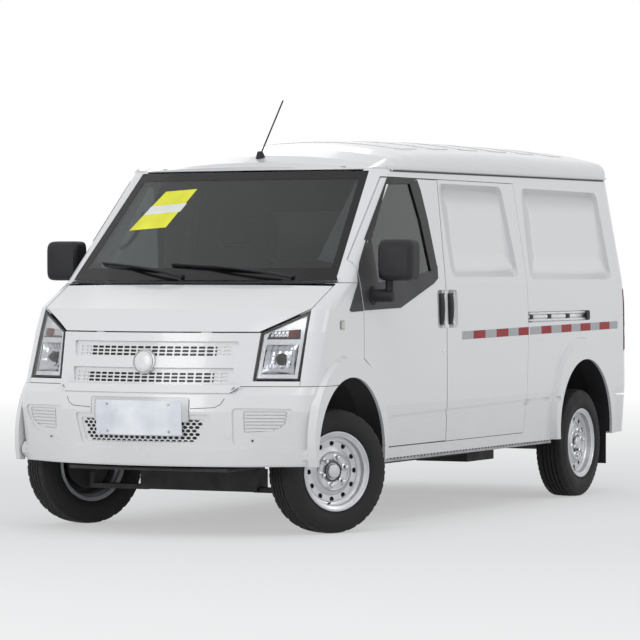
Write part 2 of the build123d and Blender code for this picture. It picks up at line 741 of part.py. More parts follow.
def outward_plane(centre, turn, hand):
    """A plane through the wheel's axle: its first axis points out of the van, its second up."""
    outward = Vector(hand * cos(radians(turn)), hand * sin(radians(turn)), 0)
    return Plane(origin=centre, x_dir=outward, z_dir=outward.cross(Vector(0, 0, 1)))


def wheel_centre(axle, turn, hand, steered):
    """The middle of the tyre, swung about the kingpin where the wheel is steered."""
    if not steered:
        return Vector(hand * half_track, axle, tyre_radius)
    outward = Vector(hand * cos(radians(turn)), hand * sin(radians(turn)), 0)
    return Vector(hand * kingpin_x, axle, tyre_radius) + outward * kingpin_inboard


def make_tyre(plane):
    half = tyre_width / 2
    bead = rim_radius - 13.5
    with BuildPart() as tyre:
        with BuildSketch(plane):
            with BuildLine():
                Line((-65.5, bead), (65.5, bead))
                Line((65.5, bead), (66, rim_radius + 2))
                ThreePointArc((66, rim_radius + 2), (half, 243), (half - 12, tyre_radius - 14))
                ThreePointArc((half - 12, tyre_radius - 14), (half - 17, tyre_radius - 7), (half - 26, tyre_radius - 3))
                ThreePointArc((half - 26, tyre_radius - 3), (0, tyre_radius), (26 - half, tyre_radius - 3))
                ThreePointArc((26 - half, tyre_radius - 3), (17 - half, tyre_radius - 7), (12 - half, tyre_radius - 14))
                ThreePointArc((12 - half, tyre_radius - 14), (-half, 243), (-66, rim_radius + 2))
                Line((-66, rim_radius + 2), (-65.5, bead))
            make_face()
        revolve(axis=Axis(plane.origin, plane.x_dir))
    return tyre.part


rim_hole_count = 12
rim_hole_radius = 13
rim_hole_circle = 137


def make_rim(plane):
    """Pressed steel wheel: flanged barrel, dished disc with round holes and a hub cap."""
    seat = rim_radius - 14
    barrel = [
        (-76, rim_radius), (-70, rim_radius), (-66, seat), (-50, seat - 2), (-40, seat - 14), (26, seat - 14),
        (44, seat - 2), (66, seat), (70, rim_radius), (77, rim_radius), (77, rim_radius - 5), (70, seat - 5),
        (46, seat - 7), (40, seat - 14), (37, 152), (34, 120), (46, 98), (50, 86), (50, 64), (42, 50), (42, 36),
        (60, 32), (64, 24), (64, 0), (30, 0), (14, 10), (14, 72), (28, 84), (26, 118), (28, 152), (26, seat - 19),
        (-42, seat - 19), (-52, seat - 7), (-70, seat - 5),
    ]
    with BuildPart() as rim:
        with BuildSketch(plane):
            with BuildLine():
                Polyline(*barrel, close=True)
            make_face()
        revolve(axis=Axis(plane.origin, plane.x_dir))
        with BuildSketch(Plane(origin=plane.origin, x_dir=(0, 0, 1), z_dir=plane.x_dir).offset(20)):
            with PolarLocations(rim_hole_circle, rim_hole_count):
                Circle(rim_hole_radius)
        extrude(amount=30, mode=Mode.SUBTRACT)
    return rim.part


def make_knuckle(plane, hand):
    """Upright on the kingpin with its brake disc, hub flange and spring strut."""
    pin = Vector(hand * kingpin_x, front_axle, 0)
    outward = plane.x_dir
    inboard = pin - outward * 52
    with BuildPart() as knuckle:
        with BuildSketch(Plane.XY.offset(ball_z + 0.3)):
            with Locations((pin.X, pin.Y)):
                Circle(22)
        extrude(amount=170)
        with BuildSketch(plane):
            with BuildLine():
                Polyline((-52 - kingpin_inboard, 0), (-52 - kingpin_inboard, 40), (-32, 46), (-32, drum_radius),
                         (-10, drum_radius), (-10, 62), (hub_face - 0.3, 62), (hub_face - 0.3, 0), close=True)
            make_face()
        revolve(axis=Axis(plane.origin, plane.x_dir))
        with BuildSketch(Plane.XY.offset(tyre_radius - 30)):
            with Locations((inboard.X, inboard.Y)):
                Circle(24)
        extrude(amount=400)
    return knuckle.part


wheel_rows = [
    ("front_left", front_axle, 1, True), ("front_right", front_axle, -1, True),
    ("rear_left", rear_axle, 1, False), ("rear_right", rear_axle, -1, False),
]
for name, axle, hand, steered in wheel_rows:
    turn = -steer_rest if steered else 0
    plane = outward_plane(wheel_centre(axle, turn, hand, steered), turn, hand)
    save(make_tyre(plane), f"tyre_{name}")
    save(make_rim(plane), f"rim_{name}")
    if steered:
        side_name = "left" if hand > 0 else "right"
        save(make_knuckle(plane, hand), f"knuckle_{side_name}")

# Mirrors on the doors
mirror_low_z = 1240
with BuildPart() as mirror_head:
    with BuildSketch(Plane.XZ.offset(-front_axle - 232)):
        with Locations((952, 1338)):
            RectangleRounded(190, 204, 34)
    extrude(amount=-70)
    with BuildSketch(Plane.XZ.offset(-front_axle - 232)):
        with Locations((952, 1338)):
            RectangleRounded(190, 204, 34)
    extrude(amount=34, taper=28)
    with BuildSketch(Plane.XY.offset(1160)):
        with Locations((900, front_axle + 268)):
            Circle(22)
    extrude(amount=110)
    with BuildSketch(Plane.YZ.offset(half_width - 20)):
        with Locations((front_axle + 268, 1162)):
            RectangleRounded(110, 66, 20)
    extrude(amount=125)
    add(body_volume(-fit_gap), mode=Mode.SUBTRACT)
print("mirror", len(mirror_head.solids()))
save_both(mirror_head.part, "mirror")

# Upright door handles, side by side over the seam
handle_low_z = 1008
handle_high_z = 1166
handle_stand = 20


def handle(y_from, y_to):
    with BuildPart() as grip:
        add(block((half_width - 20, y_from, handle_low_z), (half_width + handle_stand, y_to, handle_high_z)))
        add(body_volume(-fit_gap), mode=Mode.SUBTRACT)
    return grip.part


save_both(handle(pillar_y - 72, pillar_y - 22), "door_handle")
with BuildPart() as slide_handles:
    slide_grip = handle(pillar_y + 40, pillar_y + 92)
    add(slide_grip)
    add(mirror(slide_grip, about=Plane.YZ))
save(slide_handles.part, "slide_handles")

# Mud flaps behind the rear wheels, hung in the arches
flap_y = rear_axle + 352
flap_thickness = 6
liner_reach = rear_arch_radius + liner_gap - liner_thickness
flap_top_z = arch_z + sqrt(liner_reach**2 - (flap_y + flap_thickness - rear_axle + arch_ahead) ** 2) - fit_gap
flap_outline = [(640, 170), (806, 170), (806, 430), (712, 430), (712, flap_top_z), (640, flap_top_z)]
with BuildPart() as mud_flaps:
    flap = front_prism(flap_outline, flap_y, flap_y + flap_thickness)
    add(flap)
    add(mirror(flap, about=Plane.YZ))
save(mud_flaps.part, "mud_flaps")

# Aerial on the roof
with BuildPart() as antenna:
    with BuildSketch(Plane(origin=(0, front_axle + 620, 1868), z_dir=(0, -0.2, 1))):
        Circle(26)
    extrude(amount=34, taper=20)
    with BuildSketch(Plane(origin=(0, front_axle + 625, 1890), z_dir=(0, 0.66, 0.75))):
        Circle(4)
    extrude(amount=378)
    add(body_volume(-fit_gap), mode=Mode.SUBTRACT)
print("antenna", len(antenna.solids()), antenna.part.bounding_box())
save(antenna.part, "antenna")

# Wiper arms and blades over the foot of the windscreen
wiper_rows = [
    # pivot x, pivot behind the foot of the screen, blade from, blade to
    (-34, 14, -600, -230), (586, 56, -160, 400),
]
with BuildPart() as wipers:
    for pivot_x, pivot_back, blade_from, blade_to in wiper_rows:
        with BuildPart(mode=Mode.PRIVATE) as wiper:
            add(body_volume(-22))
            add(body_volume(-8), mode=Mode.SUBTRACT)
            blade = [(blade_from, cowl_z + 80), (blade_to, cowl_z + 50), (pivot_x, cowl_z + 12),
                     (pivot_x, cowl_z + 26), (blade_to, cowl_z + 64), (blade_from, cowl_z + 94)]
            add(front_prism(blade, far_front, front_axle + 300), mode=Mode.INTERSECT)
        add(wiper.part)
        with BuildSketch(Plane(origin=(pivot_x, screen_foot_y + pivot_back, cowl_z + 14), z_dir=(0, -0.7, 0.7))):
            Circle(11)
        extrude(amount=22)
    add(body_volume(-fit_gap), mode=Mode.SUBTRACT)
print("wipers", len(wipers.solids()))
save(wipers.part, "wipers")
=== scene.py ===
import json
from math import cos, pi, radians, sin

import bmesh
import bpy
from mathutils import Matrix, Vector
from mathutils.bvhtree import BVHTree
from mathutils.interpolate import poly_3d_calc


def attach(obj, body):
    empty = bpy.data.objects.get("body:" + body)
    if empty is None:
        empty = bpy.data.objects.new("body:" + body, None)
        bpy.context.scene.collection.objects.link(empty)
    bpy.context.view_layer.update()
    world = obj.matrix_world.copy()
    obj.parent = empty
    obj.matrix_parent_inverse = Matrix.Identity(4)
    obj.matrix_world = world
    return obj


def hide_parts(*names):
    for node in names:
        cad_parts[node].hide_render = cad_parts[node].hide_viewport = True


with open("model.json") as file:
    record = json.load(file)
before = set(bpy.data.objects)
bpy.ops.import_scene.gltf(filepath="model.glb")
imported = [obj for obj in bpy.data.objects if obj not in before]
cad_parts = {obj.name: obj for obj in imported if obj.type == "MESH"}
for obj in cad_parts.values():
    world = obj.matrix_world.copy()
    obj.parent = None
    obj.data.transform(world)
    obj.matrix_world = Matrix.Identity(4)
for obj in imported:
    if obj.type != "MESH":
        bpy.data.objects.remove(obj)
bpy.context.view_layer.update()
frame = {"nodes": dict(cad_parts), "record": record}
nodes = frame["nodes"]
SIDES = (("left", 1), ("right", -1))
MM = 0.001
FRONT_AXLE, REAR_AXLE = -1.570, 1.480

# Material helpers


def set_inputs(shader, **values):
    """Sets a shader's sockets by their names, written with _ for a space."""
    for name, value in values.items():
        shader.inputs[name.replace("_", " ")].default_value = value


class Finish:
    """A node-built material: the shader and short ways to drive it."""

    def __init__(self, name, **values):
        self.material = bpy.data.materials.new(name)
        self.material.use_nodes = True
        self.tree = self.material.node_tree
        self.shader = self.tree.nodes["Principled BSDF"]
        set_inputs(self.shader, **values)
        self.place = self.node("ShaderNodeTexCoord").outputs["Object"]

    def node(self, kind, **settings):
        made = self.tree.nodes.new(kind)
        for name, value in settings.items():
            setattr(made, name, value)
        return made

    def link(self, output, socket):
        self.tree.links.new(output, socket)

    def noise(self, scale, detail=2.0, stretch=None, roughness=0.5):
        """Noise over the object's own coordinates, in metres."""
        made = self.node("ShaderNodeTexNoise")
        set_inputs(made, Scale=scale, Detail=detail, Roughness=roughness)
        source = self.place
        if stretch:
            mapping = self.node("ShaderNodeMapping")
            set_inputs(mapping, Scale=stretch)
            self.link(self.place, mapping.inputs["Vector"])
            source = mapping.outputs["Vector"]
        self.link(source, made.inputs["Vector"])
        return made.outputs["Fac"]

    def axis(self, name):
        split = self.node("ShaderNodeSeparateXYZ")
        self.link(self.place, split.inputs["Vector"])
        return split.outputs[name]

    def math(self, operation, first, second=None, clamp=False):
        made = self.node("ShaderNodeMath", operation=operation, use_clamp=clamp)
        for index, value in enumerate((first, second)):
            if value is None:
                continue
            if isinstance(value, (int, float)):
                made.inputs[index].default_value = value
            else:
                self.link(value, made.inputs[index])
        return made.outputs["Value"]

    def ramp(self, source, stops):
        """A colour ramp from (position, colour) pairs."""
        made = self.node("ShaderNodeValToRGB")
        line = made.color_ramp
        while len(line.elements) < len(stops):
            line.elements.new(0.5)
        for element, (position, colour) in zip(line.elements, stops):
            element.position = position
            element.color = (*colour, 1)
        self.link(source, made.inputs["Fac"])
        return made.outputs["Color"]

    def spread(self, source, low, high, at_low=0.3, at_high=0.7):
        """The source between two of its values, mapped to low..high."""
        made = self.node("ShaderNodeMapRange")
        set_inputs(made, From_Min=at_low, From_Max=at_high, To_Min=low, To_Max=high)
        self.link(source, made.inputs["Value"])
        return made.outputs["Result"]

    def mix(self, factor, first, second):
        made = self.node("ShaderNodeMix", data_type="RGBA")
        self.link(factor, made.inputs["Factor"])
        for socket, colour in (("A", first), ("B", second)):
            target = next(s for s in made.inputs if s.name == socket and s.type == "RGBA")
            if isinstance(colour, tuple):
                target.default_value = (*colour, 1)
            else:
                self.link(colour, target)
        return next(s for s in made.outputs if s.type == "RGBA")

    def colour(self, output):
        self.link(output, self.shader.inputs["Base Color"])

    def rough(self, output):
        self.link(output, self.shader.inputs["Roughness"])

    def bump(self, height, strength, distance):
        made = self.node("ShaderNodeBump")
        set_inputs(made, Strength=strength, Distance=distance)
        self.link(height, made.inputs["Height"])
        self.link(made.outputs["Normal"], self.shader.inputs["Normal"])


ROAD_DUST = (0.42, 0.39, 0.34)


def paint(name, colour, dusty=0.10):
    """Glossy body paint: a faint ripple, and road dust that thickens near the ground."""
    made = Finish(name, Metallic=0.0, Coat_Weight=0.5, Coat_Roughness=0.06)
    cloud = made.noise(3.0, 4.0)
    speck = made.noise(160.0, 3.0)
    low_down = made.spread(made.axis("Z"), 1.0, 0.0, 0.15, 0.75)
    dust = made.math("MULTIPLY", made.math("MULTIPLY", cloud, low_down), dusty * 4)
    soft = tuple(c * 0.985 for c in colour)
    base = made.mix(made.spread(cloud, 0.0, 1.0, 0.1, 0.9), colour, soft)
    made.colour(made.mix(dust, base, ROAD_DUST))
    made.rough(made.spread(made.math("ADD", cloud, dust), 0.24, 0.30, 0.1, 1.2))
    made.bump(speck, 0.02, 0.0006)
    return made.material


def moulded(name, colour, rough=0.55, grain=900.0, strength=0.25):
    """Grained black or grey plastic."""
    made = Finish(name, Specular_IOR_Level=0.3)
    grains = made.noise(grain, 2.0)
    cloud = made.noise(6.0, 3.0)
    pale = tuple(min(1.0, c * 1.35 + 0.004) for c in colour)
    made.colour(made.mix(made.spread(cloud, 0.0, 1.0), colour, pale))
    made.rough(made.spread(grains, rough - 0.07, rough + 0.08))
    made.bump(grains, strength, 0.0004)
    return made.material


def clear(name, colour, rough=0.0, ior=1.45):
    """Tinted glass or clear plastic, with a trace of dust on it."""
    made = Finish(name, Transmission_Weight=1.0, IOR=ior)
    dust = made.noise(5.0, 5.0)
    haze = tuple(c * 0.93 for c in colour)
    made.colour(made.mix(made.spread(dust, 0.0, 1.0), colour, haze))
    made.rough(made.spread(dust, rough, rough + 0.03))
    return made.material


def rubber(name):
    made = Finish(name, Specular_IOR_Level=0.35)
    cloud = made.noise(9.0, 5.0)
    fine = made.noise(420.0, 3.0)
    made.colour(made.ramp(cloud, ((0.3, (0.012, 0.012, 0.013)), (0.8, (0.030, 0.030, 0.031)))))
    made.rough(made.spread(cloud, 0.62, 0.9))
    made.bump(fine, 0.22, 0.0008)
    return made.material


def metal(name, colour, metallic=0.85, rough=0.34):
    """Painted or bare metal with a little dust and fine grain."""
    made = Finish(name, Metallic=metallic)
    cloud = made.noise(14.0, 4.0)
    fine = made.noise(350.0, 2.0)
    dull = tuple(c * 0.8 for c in colour)
    made.colour(made.mix(made.spread(cloud, 0.0, 1.0, 0.4, 0.9), colour, dull))
    made.rough(made.spread(cloud, rough - 0.05, rough + 0.12))
    made.bump(fine, 0.08, 0.0005)
    return made.material


def fabric(name, colour, thread=900.0):
    """Woven cloth: crossed threads, slightly uneven in tone, with a soft sheen."""
    made = Finish(name, Sheen_Weight=0.35, Sheen_Roughness=0.5, Specular_IOR_Level=0.2)
    cloud = made.noise(18.0, 4.0)
    warp = made.node("ShaderNodeTexWave", wave_type="BANDS", bands_direction="X")
    weft = made.node("ShaderNodeTexWave", wave_type="BANDS", bands_direction="Z")
    for wave in (warp, weft):
        set_inputs(wave, Scale=thread / 6, Distortion=0.4)
        made.link(made.place, wave.inputs["Vector"])
    weave = made.math("ADD", warp.outputs["Fac"], weft.outputs["Fac"])
    pale = tuple(c * 1.5 for c in colour)
    light = made.spread(made.math("MULTIPLY", weave, cloud), 0.0, 1.0, 0.2, 0.9)
    made.colour(made.mix(light, colour, pale))
    made.rough(made.spread(cloud, 0.75, 0.92))
    made.bump(weave, 0.3, 0.0006)
    return made.material


def cells(name, colour, scale=260.0, rough=0.4):
    """Reflective tape: small cells under a clear film."""
    made = Finish(name, Coat_Weight=0.1, Coat_Roughness=0.3, Specular_IOR_Level=0.15)
    cell = made.node("ShaderNodeTexVoronoi", feature="DISTANCE_TO_EDGE")
    set_inputs(cell, Scale=scale)
    made.link(made.place, cell.inputs["Vector"])
    pale = tuple(min(1.0, c * 1.15 + 0.02) for c in colour)
    made.colour(made.mix(made.spread(cell.outputs["Distance"], 0.0, 1.0, 0.02, 0.3), pale, colour))
    made.rough(made.spread(made.noise(8.0, 3.0), rough, rough + 0.12))
    made.bump(cell.outputs["Distance"], 0.12, 0.0004)
    return made.material


WHITE = paint("white_paint", (0.82, 0.82, 0.825))
# The roof's white is the body's paint made darker: painted shade on the roof, its ribs and the gutter lips.
SHADED_ROOF_WHITE = paint("roof_paint_shaded", (0.70, 0.70, 0.705), 0.15)
INNER_WHITE = paint("inner_paint", (0.62, 0.62, 0.61), 0.2)
BLACK = moulded("black_plastic", (0.015, 0.015, 0.017))
SAIL = moulded("sail_plastic", (0.040, 0.040, 0.043), 0.55, 900.0, 0.12)
FRIT = moulded("screen_ceramic", (0.006, 0.006, 0.007), 0.16, 400.0, 0.02)
SEAL = moulded("seal_rubber", (0.012, 0.012, 0.013), 0.45, 600.0, 0.1)
GLOSS_BLACK = moulded("lamp_black", (0.012, 0.012, 0.014), 0.2, 500.0, 0.03)
CAB = moulded("cab_plastic", (0.045, 0.045, 0.048), 0.62, 700.0, 0.35)
CAB_GREY = moulded("cab_grey", (0.16, 0.16, 0.165), 0.6, 700.0, 0.3)
GLASS = clear("tinted_glass", (0.22, 0.25, 0.25))
LAMP_CLEAR = clear("lamp_cover", (0.96, 0.97, 0.98))
LAMP_RED = clear("lamp_red", (0.55, 0.012, 0.018), 0.04)
AMBER = clear("lamp_amber", (0.42, 0.14, 0.04), 0.05)
MARKER = moulded("marker_lens", (0.62, 0.60, 0.50), 0.22, 500.0, 0.05)
TYRE = rubber("tyre_rubber")
RIM = metal("wheel_silver", (0.62, 0.63, 0.65), 0.75, 0.34)
CHASSIS = metal("chassis_black", (0.035, 0.035, 0.036), 0.1, 0.6)
ZINC = metal("zinc_strip", (0.42, 0.42, 0.43), 0.8, 0.45)
SEAT = fabric("seat_cloth", (0.055, 0.055, 0.06))
SEAT_SIDE = fabric("seat_side_cloth", (0.03, 0.03, 0.034), 700.0)
CHROME = metal("bright_metal", (0.66, 0.67, 0.69), 1.0, 0.14)
MIRROR = metal("mirror_silver", (0.52, 0.53, 0.56), 1.0, 0.08)
PLATE = moulded("bare_plate", (0.70, 0.72, 0.78), 0.42, 300.0, 0.05)
SHEET_YELLOW = moulded("sheet_yellow", (0.82, 0.80, 0.06), 0.55, 500.0, 0.06)
SHEET_WHITE = moulded("sheet_white", (0.80, 0.82, 0.74), 0.55, 500.0, 0.06)
TAPE_WHITE = cells("tape_white", (0.42, 0.43, 0.44))
TAPE_RED = cells("tape_red", (0.30, 0.006, 0.012))
LAMP_DARK = moulded("lamp_ruby", (0.30, 0.006, 0.012), 0.14, 350.0, 0.05)

SLOT_MATERIALS = {
    "body_paint": WHITE,
    "black_plastic": BLACK,
    "glass": GLASS,
    "lamp_clear": LAMP_CLEAR,
    "lamp_red": LAMP_RED,
    "tyre": TYRE,
    "rim": RIM,
    "chassis": CHASSIS,
    "cab_plastic": CAB,
    "seat_fabric": SEAT,
    "inner_metal": INNER_WHITE,
}

node_slots = {row["node"]: row["material_slot"] for row in frame["record"]["subparts"]}


def dress_nodes():
    """Every CAD node gets its slot's finish."""
    for name, node in nodes.items():
        node.data.materials.clear()
        node.data.materials.append(None)
        node.material_slots[0].link = "OBJECT"
        node.material_slots[0].material = SLOT_MATERIALS[node_slots[name]]
    nodes["partition"].material_slots[0].material = SEAL
    # The roof takes the darker white, a painted shade.
    nodes["roof"].material_slots[0].material = SHADED_ROOF_WHITE


# Shapes


def placed(name, data):
    """A new object in the scene."""
    made = bpy.data.objects.new(name, data)
    bpy.context.scene.collection.objects.link(made)
    return made


def dress_mesh(mesh, material, smooth_angle):
    """Gives a mesh its one material, and smooth shading up to an angle."""
    mesh.materials.clear()
    mesh.materials.append(material)
    mesh.polygons.foreach_set("use_smooth", [True] * len(mesh.polygons))
    mesh.set_sharp_from_angle(angle=radians(smooth_angle))


def mesh_from(name, shape):
    """Turns a bmesh into a mesh with outward faces."""
    bmesh.ops.recalc_face_normals(shape, faces=shape.faces)
    mesh = bpy.data.meshes.new(name)
    shape.to_mesh(mesh)
    shape.free()
    return mesh


def add_piece(name, shape, material, body="root", smooth_angle=35, stands_for=()):
    """A bmesh as a piece that rides on a body, and stands for CAD nodes if any are named."""
    mesh = mesh_from(name, shape)
    piece = placed(name, mesh)
    dress_mesh(mesh, material, smooth_angle)
    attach(piece, body)
    if stands_for:
        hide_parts(*stands_for)
    return piece


def target_tree(names, hull=False, keep=None):
    """A ray-casting tree over CAD nodes, or over their convex hull, in the row frame."""
    shape = bmesh.new()
    for name in names:
        shape.from_mesh(nodes[name].data)
    if keep:
        bmesh.ops.delete(shape, geom=[vert for vert in shape.verts if not keep(vert.co)], context="VERTS")
    if hull:
        bmesh.ops.convex_hull(shape, input=shape.verts[:])
    tree = BVHTree.FromBMesh(shape)
    shape.free()
    return tree


class View:
    """Parallel rays from one side, and how an outline's two numbers lie across them."""

    def __init__(self, across, ahead):
        self.across, self.ahead = Vector(across), Vector(ahead)
        self.up = Vector((0, 0, 1)) if abs(self.ahead.z) < 0.5 else Vector((0, 1, 0))

    def start(self, u, v):
        return self.across * u + self.up * v - self.ahead * 4

    def seen(self, point):
        point = Vector(point)
        return (point.dot(self.across), point.dot(self.up))


def corner_view(hand, angle, rear=False):
    """A level view of a corner, turned by an angle from straight ahead."""
    turn, sign = radians(angle), -1 if rear else 1
    return View((cos(turn), sign * hand * sin(turn), 0), (-hand * sin(turn), sign * cos(turn), 0))


VIEWS = {
    "left": View((0, 1, 0), (-1, 0, 0)),
    "right": View((0, 1, 0), (1, 0, 0)),
    "front": View((1, 0, 0), (0, 1, 0)),
    "rear": View((1, 0, 0), (0, -1, 0)),
    "top": View((1, 0, 0), (0, 0, -1)),
}


def surface_at(view, tree, u, v, fallback=4.0):
    """Where a ray of the view meets the surface, with the normal turned to the viewer."""
    start = view.start(u, v)
    hit, normal, _, _ = tree.ray_cast(start, view.ahead)
    if hit is None:
        return start + view.ahead * fallback, -view.ahead, fallback
    if normal.dot(view.ahead) > 0:
        normal = -normal
    return hit, normal, (hit - start).length


def draped(shape, outline, view, tree, lift, thickness, step=0.04, straight=False):
    """Lays a flat outline on a surface as seen from a view: a thin closed skin that follows it."""
    flat = bmesh.new()
    flat.faces.new([flat.verts.new((u, v, 0)) for u, v in outline])
    for axis in (0, 1):
        low = min(point[axis] for point in outline)
        high = max(point[axis] for point in outline)
        normal = Vector((1, 0, 0)) if axis == 0 else Vector((0, 1, 0))
        cuts = int((high - low) / step)
        for number in range(1, cuts + 1):
            place = low + (high - low) * number / (cuts + 1)
            bmesh.ops.bisect_plane(flat, geom=flat.verts[:] + flat.edges[:] + flat.faces[:],
                                   plane_co=normal * place, plane_no=normal)
    bmesh.ops.triangulate(flat, faces=[face for face in flat.faces if len(face.verts) > 4])
    outer, inner, last = {}, {}, 4.0
    for vert in flat.verts:
        hit, normal, last = surface_at(view, tree, vert.co.x, vert.co.y, last)
        if straight:
            normal = -view.ahead
        outer[vert] = shape.verts.new(hit + normal * (lift + thickness))
        inner[vert] = shape.verts.new(hit + normal * lift)
    for face in flat.faces:
        shape.faces.new([outer[vert] for vert in face.verts])
        shape.faces.new([inner[vert] for vert in reversed(face.verts)])
    for edge in flat.edges:
        if edge.is_boundary:
            one, two = edge.verts
            shape.faces.new([outer[one], outer[two], inner[two], inner[one]])
    flat.free()


def skin_piece(name, outlines, view, tree, material, body="root", lift=0.0003, thickness=0.001,
               step=0.04, straight=False):
    """One or more draped outlines as one piece."""
    view = VIEWS[view] if isinstance(view, str) else view
    shape = bmesh.new()
    for outline in outlines:
        draped(shape, outline, view, tree, lift, thickness, step, straight)
    return add_piece(name, shape, material, body)


def grid_into(shape, front_rows, back_rows):
    """Joins two sets of rows of points into a closed sheet."""
    def sheet(points, turned):
        """Adds one face of the sheet, and gives the points round its edge."""
        verts = [[shape.verts.new(point) for point in row] for row in points]
        for one, two in zip(verts, verts[1:]):
            for n in range(len(one) - 1):
                face = (one[n], one[n + 1], two[n + 1], two[n])
                shape.faces.new(tuple(reversed(face)) if turned else face)
        right, left = [row[-1] for row in verts[1:]], [row[0] for row in verts[-2:0:-1]]
        return verts[0] + right + verts[-1][-2::-1] + left

    outer, inner = sheet(front_rows, False), sheet(back_rows, True)
    for n in range(len(outer)):
        m = (n + 1) % len(outer)
        shape.faces.new((outer[n], inner[n], inner[m], outer[m]))


def between(corners, s, t):
    """The point of a four-cornered outline at two shares of its sides."""
    (u0, v0), (u1, v1), (u2, v2), (u3, v3) = corners
    return ((u0 * (1 - s) + u1 * s) * (1 - t) + (u3 * (1 - s) + u2 * s) * t,
            (v0 * (1 - s) + v1 * s) * (1 - t) + (v3 * (1 - s) + v2 * s) * t)


def bowl_into(shape, corners, view, tree, depth_of, counts, thickness=0.002):
    """A dished sheet behind a surface: corners as seen in a view, depth as a function of two shares."""
    front, back = [], []
    for j in range(counts[1] + 1):
        t = j / counts[1]
        front_row, back_row = [], []
        for i in range(counts[0] + 1):
            s = i / counts[0]
            hit, _, _ = surface_at(view, tree, *between(corners, s, t))
            deep = hit + view.ahead * depth_of(s, t)
            front_row.append(deep)
            back_row.append(deep + view.ahead * thickness)
        front.append(front_row)
        back.append(back_row)
    grid_into(shape, front, back)


def box_into(shape, low, high, bevel=0.0, segments=2, turn=None):
    """Adds a box with rounded edges to a bmesh."""
    made = bmesh.ops.create_cube(shape, size=1.0)["verts"]
    low, high = Vector(low), Vector(high)
    for vert in made:
        vert.co = Vector((low[i] + (high[i] - low[i]) * (vert.co[i] + 0.5) for i in range(3)))
    if bevel:
        edges = {edge for vert in made for edge in vert.link_edges}
        made = bmesh.ops.bevel(shape, geom=list(edges), offset=bevel, segments=segments, affect="EDGES",
                               profile=0.5)["verts"]
    if turn is not None:
        made = {vert for vert in made if vert.is_valid}
        every = {vert for face in {f for v in made for f in v.link_faces} for vert in face.verts} | made
        for vert in every:
            vert.co = turn @ vert.co


def hand_box(shape, hand, low, high, bevel=0.0, segments=2):
    """A box given for the left side, on either side."""
    xs = sorted((hand * low[0], hand * high[0]))
    box_into(shape, (xs[0], low[1], low[2]), (xs[1], high[1], high[2]), bevel, segments)


def frame_of(axis):
    """Two directions square to an axis."""
    axis = Vector(axis).normalized()
    side = axis.cross(Vector((0, 0, 1)) if abs(axis.z) < 0.9 else Vector((1, 0, 0))).normalized()
    return axis, side, axis.cross(side)


TIP_RADIUS = 1e-6


def belt_into(shape, one, two):
    """Joins two rings of points; a ring of one point is a tip."""
    count = max(len(one), len(two))
    for n in range(count if count > 1 else 0):
        m = (n + 1) % count
        if len(one) == 1:
            shape.faces.new((one[0], two[n], two[m]))
        elif len(two) == 1:
            shape.faces.new((one[n], one[m], two[0]))
        else:
            shape.faces.new((one[n], one[m], two[m], two[n]))


def turned_into(shape, centre, axis, profile, count=32, start=0.0, closed=False, swell=None):
    """Adds a lathe form: profile points are (along the axis, radius)."""
    axis, side, up = frame_of(axis)
    centre = Vector(centre)
    rings = []
    for place, (along_axis, radius) in enumerate(profile):
        if radius < TIP_RADIUS:
            rings.append([shape.verts.new(centre + axis * along_axis)])
            continue
        ring = []
        for number in range(count):
            turn = start + 2 * pi * number / count
            reach = radius + (swell(place, number) if swell else 0)
            out = (side * cos(turn) + up * sin(turn)) * reach
            ring.append(shape.verts.new(centre + axis * along_axis + out))
        rings.append(ring)
    for one, two in zip(rings, rings[1:] + rings[:1] if closed else rings[1:]):
        belt_into(shape, one, two)


def tube_into(shape, points, radius, count=12, widths=None):
    """Adds a round tube with closed ends along points."""
    points = [Vector(point) for point in points]
    turns = [2 * pi * number / count for number in range(count)]
    rings = []
    for index, point in enumerate(points):
        ahead = (points[min(index + 1, len(points) - 1)] - points[max(index - 1, 0)]).normalized()
        _, side, up = frame_of(ahead)
        wide = widths[index] if widths else radius
        rings.append([shape.verts.new(point + (side * cos(a) + up * sin(a)) * wide) for a in turns])
    for one, two in zip(rings, rings[1:]):
        belt_into(shape, one, two)
    shape.faces.new(list(reversed(rings[0])))
    shape.faces.new(rings[-1])


def handed(outline, hand):
    """An outline drawn for one side, on either side."""
    return [(hand * u, v) for u, v in outline]


def rectangle(u0, v0, u1, v1):
    return [(u0, v0), (u1, v0), (u1, v1), (u0, v1)]


def taper(half, height, other_half, other_height):
    """An outline about the middle, by its half widths at two heights."""
    return [(-half, height), (half, height), (other_half, other_height), (-other_half, other_height)]


def along(points):
    """An outline given in millimetres behind the front axle and up, as metres along the van."""
    return [(FRONT_AXLE + y * MM, z * MM) for y, z in points]


def across(points):
    """An outline given in millimetres as metres."""
    return [(u * MM, v * MM) for u, v in points]


def inset(outline, amount):
    """A convex outline drawn in by the same amount on every side."""
    middle = Vector((sum(p[0] for p in outline) / len(outline), sum(p[1] for p in outline) / len(outline)))
    lines = []
    for one, two in zip(outline, outline[1:] + outline[:1]):
        one, two = Vector(one), Vector(two)
        normal = Vector((-(two - one).y, (two - one).x)).normalized()
        if normal.dot(middle - one) < 0:
            normal = -normal
        lines.append((one + normal * amount, (two - one).normalized()))
    made = []
    for (place, way), (other, other_way) in zip(lines[-1:] + lines[:-1], lines):
        cross = way.x * other_way.y - way.y * other_way.x
        gap = other - place
        made.append(tuple(place + way * ((gap.x * other_way.y - gap.y * other_way.x) / cross)))
    return made


def ring_of(outer, inner):
    """The band between two outlines of the same count, as quads."""
    count = len(outer)
    return [[outer[n], outer[(n + 1) % count], inner[(n + 1) % count], inner[n]] for n in range(count)]


# Pressed and pierced panels: a copy of the node's own mesh with the forms cut in


